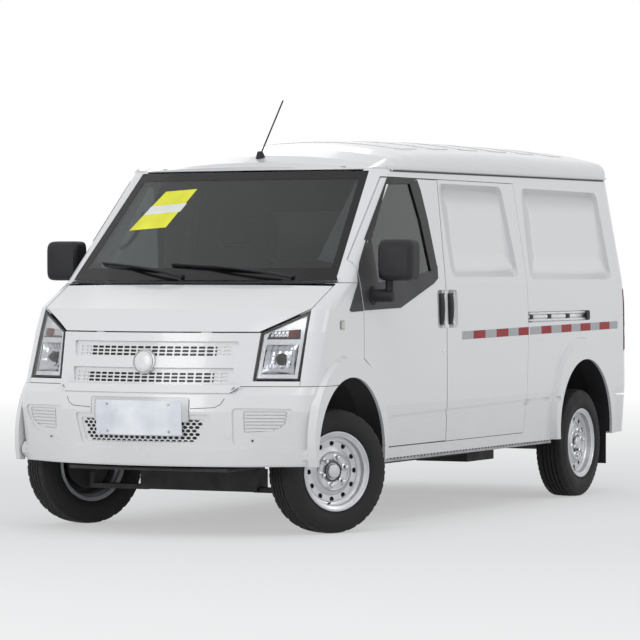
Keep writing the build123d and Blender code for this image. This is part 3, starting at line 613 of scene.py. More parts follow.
def rounded(outline, radius, count=5):
    """A polygon with its corners rounded."""
    made = []
    size = len(outline)
    for index in range(size):
        before, corner, after = (Vector(outline[(index + k) % size]) for k in (-1, 0, 1))
        one, two = (before - corner), (after - corner)
        reach = min(radius, one.length * 0.45, two.length * 0.45)
        start, end = corner + one.normalized() * reach, corner + two.normalized() * reach
        for number in range(count + 1):
            s = number / count
            made.append(tuple(start * (1 - s) ** 2 + corner * 2 * s * (1 - s) + end * s ** 2))
    return made


def grown(outline, amount):
    return inset(outline, -amount)


PROUD = 0.02


def pocket_into(shape, outline, view, tree, depth, step):
    """A cutter that takes everything down to a depth under the surface."""
    draped(shape, outline, view, tree, -depth, depth + PROUD, step, straight=True)


NORMAL_PULL, NORMAL_GAP, NORMAL_TURN = 0.02, 0.0004, 0.9


def keep_normals(mesh, source, crisp):
    """Gives uncut skin the shading of the mesh that it was copied from, and cut faces a flat one if crisp."""
    points = [vert.co for vert in source.vertices]
    faces = [tuple(face.vertices) for face in source.polygons]
    tree = BVHTree.FromPolygons(points, faces)
    own = [normal.vector.copy() for normal in mesh.corner_normals]
    given = [normal.vector.copy() for normal in source.corner_normals]
    normals = [None] * len(mesh.loops)
    for face in mesh.polygons:
        centre = face.center
        for index in face.loop_indices:
            place = mesh.vertices[mesh.loops[index].vertex_index].co.lerp(centre, NORMAL_PULL)
            hit, flat, found, gap = tree.find_nearest(place)
            normals[index] = face.normal.copy() if crisp else own[index]
            if gap < NORMAL_GAP and flat.dot(face.normal) > NORMAL_TURN:
                corners = source.polygons[found].loop_indices
                weights = poly_3d_calc([points[n] for n in faces[found]], hit)
                total = Vector((0, 0, 0))
                for weight, corner in zip(weights, corners):
                    total += given[corner] * weight
                normals[index] = total.normalized()
    mesh.normals_split_custom_set(normals)


PANEL_ANGLE = 30


def worked_panel(name, node, cutters, body="root", crisp=False):
    """A copy of a node's mesh with cutters taken out, which stands for the node."""
    piece = placed(name, nodes[node].data.copy())
    piece.data.materials.clear()
    for index, shape in enumerate(cutters):
        tool = placed(f"tool_{name}_{index}", mesh_from(f"tool_{name}_{index}", shape))
        cut = piece.modifiers.new("cut", "BOOLEAN")
        cut.operation, cut.object, cut.solver = "DIFFERENCE", tool, "EXACT"
        bpy.context.view_layer.update()
        ready = piece.evaluated_get(bpy.context.evaluated_depsgraph_get())
        result = bpy.data.meshes.new_from_object(ready)
        piece.modifiers.clear()
        piece.data = result
        bpy.data.objects.remove(tool)
    dress_mesh(piece.data, SLOT_MATERIALS[node_slots[node]], PANEL_ANGLE)
    keep_normals(piece.data, nodes[node].data, crisp)
    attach(piece, body)
    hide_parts(node)


# Windscreen: ceramic border, inspection sheet

SCREEN_FOOT, SCREEN_TOP = 1.239, 1.790
SCREEN_FOOT_HALF, SCREEN_TOP_HALF = 0.743, 0.653
FRIT_WIDE, FRIT_LOW, FRIT_HIGH = 0.040, 0.060, 0.040


def screen_half(height):
    share = (height - SCREEN_FOOT) / (SCREEN_TOP - SCREEN_FOOT)
    return SCREEN_FOOT_HALF + (SCREEN_TOP_HALF - SCREEN_FOOT_HALF) * share


def make_screen_trim():
    tree = target_tree(["windscreen"])
    low, high = SCREEN_FOOT + FRIT_LOW, SCREEN_TOP - FRIT_HIGH
    ends = ((SCREEN_FOOT, low), (high, SCREEN_TOP))
    bands = [taper(screen_half(one), one, screen_half(two), two) for one, two in ends]
    side = [(screen_half(low) - FRIT_WIDE, low), (screen_half(low), low), (screen_half(high), high),
            (screen_half(high) - FRIT_WIDE, high)]
    bands += [side, handed(side, -1)]
    skin_piece("screen_border", bands, "front", tree, FRIT, lift=0.0002, thickness=0.0006)
    sheet = across([(-548, 1492), (-330, 1507), (-256, 1706), (-440, 1694)])
    band = across([(-505, 1572), (-291, 1588), (-275, 1632), (-483, 1617)])
    skin_piece("inspection_sheet", [sheet], "front", tree, SHEET_YELLOW, lift=0.0002, thickness=0.0004)
    skin_piece("inspection_sheet_band", [band], "front", tree, SHEET_WHITE, lift=0.0007, thickness=0.0003)


# Wipers: arm, blade carrier and rubber, following the glass

WIPER_ROWS = [
    # pivot, blade's far and near end, each across and up; the step of the blade that the arm meets
    ((0.586, 1.236), (-0.176, 1.312), (0.371, 1.280), 5),
    ((-0.034, 1.236), (-0.600, 1.318), (-0.232, 1.284), 6),
]
BLADE_STEPS, ARM_STEPS = 12, 8


def traced(view, tree, start, end, steps):
    """A line laid on a surface as seen from a view: shares of the way, points and normals."""
    made = []
    for n in range(steps + 1):
        s = n / steps
        u, v = (one + (two - one) * s for one, two in zip(start, end))
        hit, normal, _ = surface_at(view, tree, u, v)
        made.append((s, hit, normal))
    return made


def make_wipers():
    tree = target_tree(["windscreen", "cowl", "hood"])
    view = VIEWS["front"]
    arms = bmesh.new()
    rubbers = bmesh.new()
    for pivot, far, near, meeting in WIPER_ROWS:
        spine = traced(view, tree, far, near, BLADE_STEPS)
        tube_into(rubbers, [hit + normal * 0.005 for _, hit, normal in spine], 0.0042, 8)
        tube_into(arms, [hit + normal * 0.013 for _, hit, normal in spine], 0.0055, 8,
                  [0.003 + 0.0035 * sin(pi * s) ** 0.5 for s, _, _ in spine])
        base, normal, _ = surface_at(view, tree, *pivot)
        turned_into(arms, base, normal,
                    [(-0.012, 0.0), (-0.012, 0.017), (0.012, 0.016), (0.020, 0.010), (0.022, 0.0)], 20)
        middle = spine[meeting][1]
        arm = traced(view, tree, pivot, (middle.x, middle.z), ARM_STEPS)
        tube_into(arms, [hit + normal * (0.016 + 0.010 * sin(pi * s)) for s, hit, normal in arm], 0.007, 8,
                  [0.011 - 0.006 * s for s, _, _ in arm])
    add_piece("wiper_arms", arms, BLACK, stands_for=("wipers",))
    add_piece("wiper_rubbers", rubbers, SEAL)


# Side trim: window surround and its sail, tape, rails, marker lamps, gutter line

SAIL_ON_WING = along([(-8, 1092), (15, 1083), (147, 1087), (147, 1092), (104, 1285), (98, 1228)])
SAIL_ON_DOOR = along([(161, 1089), (583, 1098), (1000, 1220), (1056, 1246), (1064, 1312), (1012, 1290),
                      (985, 1284), (332, 1222), (304, 1434), (262, 1452), (146, 1330), (116, 1285)])
WINDOW_SEAL = [
    along([(975, 1284), (1058, 1300), (1002, 1544), (908, 1543)]),
    along([(908, 1543), (1002, 1544), (950, 1700), (920, 1752), (826, 1730)]),
    along([(920, 1756), (575, 1756), (540, 1722), (826, 1730)]),
    along([(575, 1756), (240, 1440), (290, 1428), (548, 1722)]),
]
TAPE_STARTS = (1342, 1485, 1643, 1790, 1952, 2090, 2234, 2250, 2413, 2557, 2703, 2851, 2985, 3137, 3275,
               3431, 3558)
TAPE_SEAM = 6
TAPE_FOOT, TAPE_RISE, TAPE_HEIGHT = 924, 0.0112, 43
GUTTER_LINE = along([(618, 1797), (3544, 1812), (3544, 1803), (618, 1788)])
RAIL_IN, RAIL_START, RAIL_END = 0.801, FRONT_AXLE + 2.250, FRONT_AXLE + 3.080
RAIL_BARS = ((1.007, 1.018, 0.8155), (1.022, 1.041, 0.8105), (1.045, 1.056, 0.8155))
RAIL_CLIPS = (FRONT_AXLE + 2.262, FRONT_AXLE + 2.520, FRONT_AXLE + 2.790)
LOCK_Y, LOCK_Z = FRONT_AXLE + 1.101, 0.874
MARKER_Y, MARKER_Z = FRONT_AXLE - 0.091, 1.021
MARKER_ROWS = [
    # name, half size, material, lift, thickness
    ("frame", 0.021, CAB_GREY, 0.0003, 0.0025), ("lens", 0.018, MARKER, 0.002, 0.005),
]


def tape_outlines(red):
    """The blocks of one colour: they alternate, and start white again behind the sliding door's seam."""
    outlines = []
    for index in range(len(TAPE_STARTS) - 1):
        place = index if index < TAPE_SEAM else index - TAPE_SEAM - 1
        if index == TAPE_SEAM or (place % 2 == 1) != red:
            continue
        corners = []
        for y in (TAPE_STARTS[index], TAPE_STARTS[index + 1]):
            foot = TAPE_FOOT + (y - TAPE_STARTS[0]) * TAPE_RISE
            corners.append((y, foot, foot + TAPE_HEIGHT))
        (y1, f1, t1), (y2, f2, t2) = corners
        outlines.append(along([(y1, f1), (y2, f2), (y2, t2), (y1, t1)]))
    return outlines


def make_side_trim(side, hand):
    body = f"door_{side}"
    wing = target_tree([f"side_{side}", f"fender_{side}"])
    door = target_tree([f"door_{side}"], hull=True)
    flank = target_tree([f"side_{side}", f"sliding_door_{side}"])
    skin_piece(f"sail_wing_{side}", [SAIL_ON_WING], side, wing, SAIL, thickness=0.0015)
    skin_piece(f"sail_door_{side}", [SAIL_ON_DOOR], side, door, SAIL, body, -0.006, 0.008)
    skin_piece(f"window_seal_{side}", WINDOW_SEAL, side, door, SEAL, body, -0.012, 0.015)
    skin_piece(f"tape_white_{side}", tape_outlines(False), side, flank, TAPE_WHITE, thickness=0.0006)
    skin_piece(f"tape_red_{side}", tape_outlines(True), side, flank, TAPE_RED, thickness=0.0006)
    skin_piece(f"gutter_line_{side}", [GUTTER_LINE], side, flank, SEAL, thickness=0.002)

    rail = bmesh.new()
    for low, high, stand in RAIL_BARS:
        hand_box(rail, hand, (RAIL_IN, RAIL_START, low), (stand, RAIL_END, high), 0.002)
    add_piece(f"slide_rail_{side}", rail, CHROME)
    cap = bmesh.new()
    hand_box(cap, hand, (RAIL_IN, RAIL_END + 0.002, 1.006), (0.8185, RAIL_END + 0.052, 1.058), 0.006, 3)
    for place in RAIL_CLIPS:
        hand_box(cap, hand, (RAIL_IN, place, 1.020), (0.8135, place + 0.05, 1.043), 0.003)
    add_piece(f"slide_rail_cap_{side}", cap, BLACK)

    for label, half, material, lift, thickness in MARKER_ROWS:
        outline = rectangle(MARKER_Y - half, MARKER_Z - half, MARKER_Y + half, MARKER_Z + half)
        skin_piece(f"marker_{label}_{side}", [outline], side, wing, material, lift=lift, thickness=thickness)
    lock = bmesh.new()
    hit, _, _ = surface_at(VIEWS[side], target_tree([f"door_{side}"]), LOCK_Y, LOCK_Z)
    turned_into(lock, hit, (hand, 0, 0),
                [(-0.002, 0.0), (-0.002, 0.011), (0.002, 0.0105), (0.0025, 0.005), (0.0012, 0.0)], 20)
    add_piece(f"door_lock_{side}", lock, CHROME, body)


# Door mirrors: shell, glass, neck and the round foot

MIRROR_LOW, MIRROR_HIGH = (0.857, -1.372, 1.236), (1.047, -1.262, 1.440)
MIRROR_POWER = 7.0
NECK_WIDTHS = (0.024, 0.022, 0.0205, 0.020, 0.0205, 0.022, 0.025)


def make_mirror(side, hand):
    body = f"door_{side}"
    shape = bmesh.new()
    bmesh.ops.create_cube(shape, size=2.0)
    bmesh.ops.subdivide_edges(shape, edges=shape.edges[:], cuts=14, use_grid_fill=True)
    middle = [(one + two) / 2 for one, two in zip(MIRROR_LOW, MIRROR_HIGH)]
    half = [(two - one) / 2 for one, two in zip(MIRROR_LOW, MIRROR_HIGH)]
    for vert in shape.verts:
        x, y, z = vert.co
        size = max((abs(x) ** MIRROR_POWER + abs(z) ** MIRROR_POWER) ** (1 / MIRROR_POWER), 1e-6)
        edge = max(abs(x), abs(z))
        x, z = x / size * edge, z / size * edge
        front = max(0.0, -y)
        draw_in = 1.0 - 0.20 * front ** 3 * (0.6 + 0.4 * edge)
        top_cut = 1.0 - 0.10 * max(0.0, z) * front ** 2
        deep = 1 - 0.10 * edge ** 2 * (1 if y < 0 else 0)
        vert.co = Vector((hand * (middle[0] + half[0] * x * draw_in), middle[1] + half[1] * y * deep,
                          middle[2] + half[2] * z * draw_in * top_cut))
    neck = [(hand * 0.902, -1.302, 1.150 + 0.018 * n) for n in range(len(NECK_WIDTHS))]
    tube_into(shape, neck, 0.021, 20, NECK_WIDTHS)
    turned_into(shape, (hand * 0.812, -1.302, 1.162), (hand, 0, 0),
                [(0.0, 0.0), (0.0, 0.048), (0.008, 0.047), (0.012, 0.036), (0.020, 0.033), (0.102, 0.032),
                 (0.110, 0.029), (0.114, 0.022), (0.115, 0.0)], 32)
    add_piece(f"mirror_shell_{side}", shape, BLACK, body, stands_for=(f"mirror_{side}",))
    glass = bmesh.new()
    hand_box(glass, hand, (0.870, -1.2625, 1.250), (1.034, -1.2595, 1.426), 0.0012, 1)
    add_piece(f"mirror_glass_{side}", glass, MIRROR, body)


# Upright handles beside the door's rear seam, dark with bright ends

HANDLE_ROWS = [
    # kind, front edge and rear edge
    ("door", -0.492, -0.442), ("slide", -0.380, -0.328),
]
HANDLE_X, HANDLE_LOW, HANDLE_HIGH = 0.8035, 1.006, 1.168
HANDLE_STEPS, HANDLE_ARC = 12, 8


def grip_ring(hand, middle, half, s):
    """One level section of a handle, at a share of its height."""
    bow = sin(pi * s) ** 0.45
    stand = HANDLE_X + 0.006 + 0.013 * bow
    width = half * (0.86 + 0.14 * bow)
    z = HANDLE_LOW + (HANDLE_HIGH - HANDLE_LOW) * s
    points = []
    for n in range(HANDLE_ARC + 1):
        turn = pi * n / HANDLE_ARC
        x = hand * (HANDLE_X + (stand - HANDLE_X) * sin(turn) ** 0.55)
        points.append((x, middle - width * cos(turn), z))
    return points


def make_handles():
    for kind, front, rear in HANDLE_ROWS:
        for side, hand in SIDES:
            shape = bmesh.new()
            rings = []
            for index in range(HANDLE_STEPS + 1):
                points = grip_ring(hand, (front + rear) / 2, (rear - front) / 2, index / HANDLE_STEPS)
                rings.append([shape.verts.new(point) for point in points])
            for one, two in zip(rings, rings[1:]):
                belt_into(shape, one, two)
            shape.faces.new(rings[0])
            shape.faces.new(list(reversed(rings[-1])))
            body, stands = "root", ("slide_handles",) if hand > 0 else ()
            if kind == "door":
                body, stands = f"door_{side}", (f"door_handle_{side}",)
            add_piece(f"{kind}_grip_{side}", shape, BLACK, body, stands_for=stands)
            ends = bmesh.new()
            for z in (HANDLE_LOW - 0.006, HANDLE_HIGH - 0.008):
                hand_box(ends, hand, (HANDLE_X, rear + 0.0005, z), (0.8145, rear + 0.012, z + 0.014), 0.003)
            add_piece(f"{kind}_grip_ends_{side}", ends, CHROME, body)


# Head lamps: black rim, bright bezel, ribbed reflectors, amber indicator and clear cover

LAMP_OUTLINE = across([(538, 760), (552, 988), (640, 1034), (742, 1087), (746, 960), (747, 760)])
LAMP_ANGLE = 42


def ribbed(share, count):
    """1 or -1 in turn along a share."""
    return 1 if int(share * count) % 2 else -1


def main_depth(s, t):
    dish = (1 - (2 * s - 1) ** 2) ** 0.6 * (1 - (2 * t - 1) ** 2) ** 0.6 if 0 < s < 1 and 0 < t < 1 else 0
    rib = 0.0016 * ribbed(s, 11) * (1 if t > 0.18 else 0)
    step = 0.0012 * ribbed(t, 5)
    return 0.013 + 0.036 * dish + (rib + step) * min(1.0, dish * 2)


def blink_depth(s, t):
    dish = (1 - (2 * t - 1) ** 2) ** 0.5 if 0 < t < 1 else 0
    rib = 0.0018 * ribbed(s, 16) * dish
    return 0.013 + 0.014 * dish * (1 if 0.02 < s < 0.98 else 0) + rib


def make_headlamp(side, hand):
    solid = target_tree(["headlamps"], hull=True, keep=lambda place: place.x * hand > 0)
    view = corner_view(hand, LAMP_ANGLE)
    outline = []
    for u, v in LAMP_OUTLINE:
        hit, _, _ = surface_at(VIEWS["front"], solid, hand * u, v)
        outline.append(view.seen(hit))
    rim = inset(outline, 0.009)
    low_in, high_in, _, _, mid_out, low_out = inset(outline, 0.020)
    wide = low_out[0] - low_in[0]
    skin_piece(f"lamp_rim_{side}", ring_of(outline, rim), view, solid, GLOSS_BLACK, lift=-0.006,
               thickness=0.004, step=0.03)

    def inner_at(v, amount):
        share = (v - low_in[1]) / (high_in[1] - low_in[1])
        return low_in[0] + (high_in[0] - low_in[0]) * share + wide * amount

    def outer_at(v, amount):
        share = (v - low_out[1]) / (mid_out[1] - low_out[1])
        return low_out[0] + (mid_out[0] - low_out[0]) * share - wide * amount

    main = [(inner_at(0.790, 0.03), 0.790), (outer_at(0.790, 0.03), 0.790), (outer_at(0.932, 0.04), 0.932),
            (inner_at(0.932, 0.04), 0.932)]
    blink = [(inner_at(0.958, 0.03), 0.958), (outer_at(0.958, 0.03), 0.958), (outer_at(1.004, 0.05), 1.006),
             (inner_at(0.996, 0.10), 0.996)]
    bezel = [
        [rim[0], rim[5], main[1], main[0]],
        [rim[5], rim[4], blink[1], main[2], main[1]],
        [main[3], main[2], blink[1], blink[0]],
        [rim[0], main[0], main[3], blink[0], blink[3], rim[1]],
        [rim[1], blink[3], blink[2], rim[3], rim[2]],
        [blink[1], rim[4], rim[3], blink[2]],
    ]
    skin_piece(f"lamp_bezel_{side}", bezel, view, solid, CHROME, lift=-0.013, thickness=0.003, step=0.05)

    bowls = bmesh.new()
    bowl_into(bowls, main, view, solid, main_depth, (44, 30))
    bowl_into(bowls, blink, view, solid, blink_depth, (48, 8))
    add_piece(f"lamp_reflectors_{side}", bowls, MIRROR, smooth_angle=50)
    amber = [between(blink, s, t) for s, t in rectangle(0.62, 0.06, 0.99, 0.94)]
    skin_piece(f"lamp_amber_{side}", [amber], view, solid, AMBER, lift=-0.016, thickness=0.002)
    bulb = bmesh.new()
    hit, _, _ = surface_at(view, solid, *between(main, 0.62, 0.48))
    turned_into(bulb, hit + view.ahead * 0.045, -view.ahead,
                [(0.0, 0.0), (0.0, 0.030), (0.004, 0.030), (0.006, 0.022), (0.014, 0.020), (0.018, 0.012),
                 (0.026, 0.010), (0.030, 0.0)], 28)
    add_piece(f"lamp_bulb_{side}", bulb, GLOSS_BLACK)
    skin_piece(f"lamp_cover_{side}", [outline], view, solid, LAMP_CLEAR, lift=-0.0035, thickness=0.0030,
               step=0.03)
    house = bmesh.new()
    wall = inset(outline, 0.003)
    draped(house, wall, view, solid, -0.062, 0.004, 0.05)
    for piece in ring_of(wall, inset(outline, 0.006)):
        loops = []
        for depth in (0.008, 0.060):
            hits = [surface_at(view, solid, u, v)[0] for u, v in piece]
            loops.append([house.verts.new(hit + view.ahead * depth) for hit in hits])
        one, two = loops
        belt_into(house, one, two)
        house.faces.new(one)
        house.faces.new(list(reversed(two)))
    stands = ("headlamps",) if hand > 0 else ()
    add_piece(f"lamp_house_{side}", house, GLOSS_BLACK, stands_for=stands)


# Nose: grille slots with rows of dashes, mesh grille, plate, fog inserts, seams and the bare badge dome

SLOT_ROWS = [
    # middle height, half length at the top and at the foot, all in millimetres
    (908, 458, 444), (781, 448, 430),
]
SLOT_HALF = 37
DASH_DROP = 10
DASH_PITCH, DASH_SIZE, DASH_COUNTS = (40, 17), (33, 11), (21, 3)
DARK_DASH_HALF = 350
MESH_ENDS = (344, 574, 316, 458)
MESH_OUTLINE = across(taper(*MESH_ENDS))
GRILLE_EDGE = 8
MESH_PITCH, MESH_CELL, MESH_COUNTS = (30, 17), (13, 7.4), (23, 7)
PLATE_RECESS = across(taper(273, 677, 273, 484))
PLATE_OUTLINE = across(rectangle(-237, 660, 234, 494))
PLATE_BASE = across(rectangle(-250, 670, 268, 560))
FOG_OUTLINE = across([(520, 612), (718, 612), (702, 548), (655, 520), (520, 508)])
FOG_SURROUND = across([(472, 628), (746, 624), (736, 576), (690, 505), (472, 448)])
MESH_SURROUND = across(taper(376, 596, 338, 442))
LIP_OUTLINE = across(taper(800, 436, 800, 352))
SEAM_TRACK = across([(478, 727), (448, 700), (436, 672), (420, 645), (392, 630), (276, 624)])
COVER_OUTLINE = across(taper(505, 738, 456, 700))
FOG_RIBS = [
    # height, outer end
    (522, 0.648), (538, 0.678), (554, 0.698), (570, 0.698), (586, 0.706), (602, 0.706),
]
FOG_RIB_IN, FOG_RIB_HALF = 0.526, 0.0050
SLOT_DEPTH, SURROUND_DEPTH, GRILLE_DEPTH, PLATE_DEPTH = 0.016, 0.009, 0.017, 0.006
HOLE_DEPTH, HOLE_CUT, BACKING_DEPTH = 0.022, 0.030, 0.0218
POCKET_STEP, FOG_STEP, HOLE_STEP = 0.06, 0.04, 1.0
BADGE_Z, BADGE_RADIUS = 0.846, 0.060


def slot_outline(row):
    middle, top_half, foot_half = row
    return across(taper(top_half, middle + SLOT_HALF, foot_half, middle - SLOT_HALF))


def bars(name, outlines, tree, lift, thickness, material):
    skin_piece(name, outlines, "front", tree, material, lift=lift, thickness=thickness, step=0.08,
               straight=True)


def dash_grid(row):
    """The rows of holes of one slot, as outlines."""
    middle, top_half, foot_half = row
    holes = []
    for j in range(DASH_COUNTS[1]):
        z = middle - DASH_DROP + (j - (DASH_COUNTS[1] - 1) / 2) * DASH_PITCH[1]
        share = (z - middle + SLOT_HALF) / (2 * SLOT_HALF)
        half = foot_half + (top_half - foot_half) * share - GRILLE_EDGE
        for i in range(DASH_COUNTS[0]):
            x = (i - (DASH_COUNTS[0] - 1) / 2) * DASH_PITCH[0]
            w, h = DASH_SIZE[0] / 2, DASH_SIZE[1] / 2
            if abs(x) + w > half:
                continue
            holes.append(rounded(across(rectangle(x - w, z - h, x + w, z + h)), 4 * MM, 2))
    return holes


def mesh_holes():
    """The six-cornered holes of the lower grille, as outlines."""
    top_half, top, foot_half, foot = MESH_ENDS
    w, h = MESH_CELL
    holes = []
    for j in range(MESH_COUNTS[1]):
        z = (top + foot) / 2 + (j - (MESH_COUNTS[1] - 1) / 2) * MESH_PITCH[1]
        shift = MESH_PITCH[0] / 2 if j % 2 else 0
        half = foot_half + (top_half - foot_half) * (z - foot) / (top - foot) - GRILLE_EDGE
        for i in range(-MESH_COUNTS[0] // 2 - 1, MESH_COUNTS[0] // 2 + 2):
            x = i * MESH_PITCH[0] + shift
            if abs(x) + w > half:
                continue
            holes.append(across([(x - w, z), (x - w / 2, z - h), (x + w / 2, z - h), (x + w, z),
                                 (x + w / 2, z + h), (x - w / 2, z + h)]))
    return holes


def pockets(tree, depth, rows):
    """One cutter of pockets: outline, corner radius in millimetres, step of its grid."""
    shape = bmesh.new()
    for outline, radius, step in rows:
        pocket_into(shape, rounded(outline, radius * MM), VIEWS["front"], tree, depth, step)
    return shape


def pierced(tree, outlines):
    """One cutter of holes."""
    shape = bmesh.new()
    for hole in outlines:
        draped(shape, hole, VIEWS["front"], tree, -HOLE_DEPTH, HOLE_CUT, HOLE_STEP, straight=True)
    return shape


def fog_pair(outline, radius):
    return [(handed(outline, hand), radius, FOG_STEP) for hand in (1, -1)]


def make_nose():
    view = VIEWS["front"]
    face = target_tree(["front_panel", "bumper_front"])
    bumper = target_tree(["bumper_front"])
    # Grille slots
    slots = pockets(face, SLOT_DEPTH, [(slot_outline(row), 14, POCKET_STEP) for row in SLOT_ROWS])
    holes = pierced(face, [hole for row in SLOT_ROWS for hole in dash_grid(row)])
    worked_panel("nose_panel", "front_panel", [slots, holes], crisp=True)
    h = SLOT_HALF - 3
    backing = [across(taper(DARK_DASH_HALF, row[0] + h, DARK_DASH_HALF, row[0] - h)) for row in SLOT_ROWS]
    bars("slot_backing", backing, face, -BACKING_DEPTH, 0.0012, GLOSS_BLACK)
    # Bumper: mesh, plate recess, fog inserts, seam of the tongue
    cutters = [
        pockets(bumper, SURROUND_DEPTH, [(MESH_SURROUND, 22, POCKET_STEP)] + fog_pair(FOG_SURROUND, 22)),
        pockets(bumper, PLATE_DEPTH, [(PLATE_RECESS, 12, POCKET_STEP)]),
        pockets(bumper, GRILLE_DEPTH, [(MESH_OUTLINE, 16, POCKET_STEP)] + fog_pair(FOG_OUTLINE, 14)),
        pierced(bumper, mesh_holes()),
    ]
    worked_panel("bumper_skin", "bumper_front", cutters, crisp=True)
    bars("mesh_backing", [inset(MESH_OUTLINE, 0.006)], bumper, -BACKING_DEPTH, 0.0012, GLOSS_BLACK)
    ribs = []
    for height, outer in FOG_RIBS:
        low, high = height * MM - FOG_RIB_HALF, height * MM + FOG_RIB_HALF
        ribs += [handed(rectangle(FOG_RIB_IN, low, outer, high), hand) for hand in (1, -1)]
    bars("fog_ribs", ribs, bumper, -0.0185, 0.0105, WHITE)
    skin_piece("bumper_lip", [rounded(LIP_OUTLINE, 8 * MM)], "front", bumper, WHITE, lift=-0.001,
               thickness=0.006)
    tracks = []
    for hand in (1, -1):
        for (u1, v1), (u2, v2) in zip(SEAM_TRACK, SEAM_TRACK[1:]):
            way = Vector((u2 - u1, v2 - v1)).normalized() * 0.0014
            tracks.append(handed([(u1 - way.y, v1 + way.x), (u2 - way.y, v2 + way.x),
                                  (u2 + way.y, v2 - way.x), (u1 + way.y, v1 - way.x)], hand))
    skin_piece("nose_seam", tracks, "front", bumper, SEAL, lift=-0.001, thickness=0.0014)
    hull = target_tree(["front_panel", "bumper_front"], hull=True)
    skin_piece("nose_blend", [COVER_OUTLINE], "front", hull, WHITE, lift=-0.003, thickness=0.0032)
    skin_piece("front_plate", [rounded(PLATE_OUTLINE, 10 * MM)], "front", bumper, PLATE, lift=0.004,
               thickness=0.002, step=0.08)
    skin_piece("plate_base", [rounded(PLATE_BASE, 12 * MM)], "front", bumper, INNER_WHITE, lift=-0.004,
               thickness=0.008, step=0.08)
    screws = bmesh.new()
    for u in (-0.170, 0.168):
        for v in (0.642, 0.512):
            hit, normal, _ = surface_at(view, bumper, u, v)
            turned_into(screws, hit + normal * 0.006, normal,
                        [(0.0, 0.0), (0.0, 0.007), (0.002, 0.006), (0.003, 0.0)], 12)
    add_piece("plate_screws", screws, ZINC)
    cover = bmesh.new()
    hit, normal, _ = surface_at(view, bumper, 0.450, 0.502)
    turned_into(cover, hit, normal,
                [(-0.002, 0.0), (-0.002, 0.022), (0.0015, 0.0215), (0.002, 0.018), (0.001, 0.0)], 28)
    add_piece("tow_cover", cover, WHITE)
    plugs = bmesh.new()
    for hand in (1, -1):
        hit, normal, _ = surface_at(view, bumper, hand * 0.560, 0.470)
        turned_into(plugs, hit, normal, [(-0.002, 0.0), (-0.002, 0.006), (0.001, 0.005), (0.001, 0.0)], 12)
    add_piece("bumper_plugs", plugs, BLACK)
    # Bare badge dome
    dome = bmesh.new()
    hit, _, _ = surface_at(view, face, 0.0, BADGE_Z)
    flat = Vector((0, -1, 0.12)).normalized()
    turned_into(dome, hit, flat, [(-0.012, 0.0), (-0.012, BADGE_RADIUS), (0.004, BADGE_RADIUS),
                                  (0.009, BADGE_RADIUS - 0.004), (0.011, 0.050), (0.0145, 0.046),
                                  (0.0175, 0.032), (0.0190, 0.016), (0.0195, 0.0)], 48)
    add_piece("badge_dome", dome, WHITE)
    seam = bmesh.new()
    turned_into(seam, hit, flat, [(0.0095, 0.0520), (0.0125, 0.0520), (0.0125, 0.0508), (0.0095, 0.0508)],
                48, closed=True)
    add_piece("badge_seam", seam, CAB_GREY)
    ring = bmesh.new()
    turned_into(ring, hit, flat, [(0.004, BADGE_RADIUS + 0.001), (0.010, BADGE_RADIUS - 0.001),
                                  (0.011, BADGE_RADIUS - 0.004), (0.008, BADGE_RADIUS - 0.007)], 48,
                closed=True)
    add_piece("badge_ring", ring, CHROME)


# Flanks: blind windows, swage, rail slot and the handles' recess pressed in

SLIDE_BLIND = along([(1259, 1276), (2090, 1276), (1981, 1716), (1206, 1716)])
REAR_BLIND = along([(2302, 1262), (3458, 1258), (3363, 1710), (2299, 1714)])
SWAGE = along([(396, 528), (2640, 556), (2640, 586), (392, 556)])
RAIL_SLOT = along([(2200, 1000), (3137, 1004), (3137, 1060), (2200, 1060)])
GRIP_RECESS = along([(1034, 988), (1290, 988), (1290, 1186), (1034, 1186)])
PRESS_DEPTH, RECESS_DEPTH, BLIND_GROW = 0.005, 0.012, 0.024


GRIP_PRESS, SWAGE_PRESS = (GRIP_RECESS, 0.030, RECESS_DEPTH), (SWAGE, 0.008, PRESS_DEPTH)
RAIL_PRESS = (RAIL_SLOT, 0.016, RECESS_DEPTH)


def blind_presses(outline):
    """The two steps of a blind window."""
    return [(grown(outline, BLIND_GROW), 0.050, PRESS_DEPTH), (outline, 0.036, RECESS_DEPTH)]


PANEL_ROWS = [
    # node, forms pressed in: outline, corner radius, depth
    ("door", [GRIP_PRESS, SWAGE_PRESS]),
    ("sliding_door", blind_presses(SLIDE_BLIND) + [GRIP_PRESS, SWAGE_PRESS]),
    ("side", blind_presses(REAR_BLIND) + [RAIL_PRESS, SWAGE_PRESS]),
]


def make_flanks():
    for side, _ in SIDES:
        flank = target_tree([f"side_{side}", f"sliding_door_{side}", f"door_{side}", f"fender_{side}"])
        for node, presses in PANEL_ROWS:
            tools = []
            for outline, radius, depth in presses:
                shape = bmesh.new()
                pocket_into(shape, rounded(outline, radius), VIEWS[side], flank, depth, 0.12)
                tools.append(shape)
            body = f"door_{side}" if node == "door" else "root"
            worked_panel(f"{node}_skin_{side}", f"{node}_{side}", tools, body)


# Roof: pressed ribs across it and the gutter's lip

RIB_LENGTH, RIB_PITCH, RIB_COUNT, RIB_HALF, RIB_RISE = 0.240, 0.400, 6, 0.520, 0.004
RIB_START = -0.360


GUTTER_LIP = along([(610, 1802), (3552, 1816), (3552, 1826), (610, 1812)])


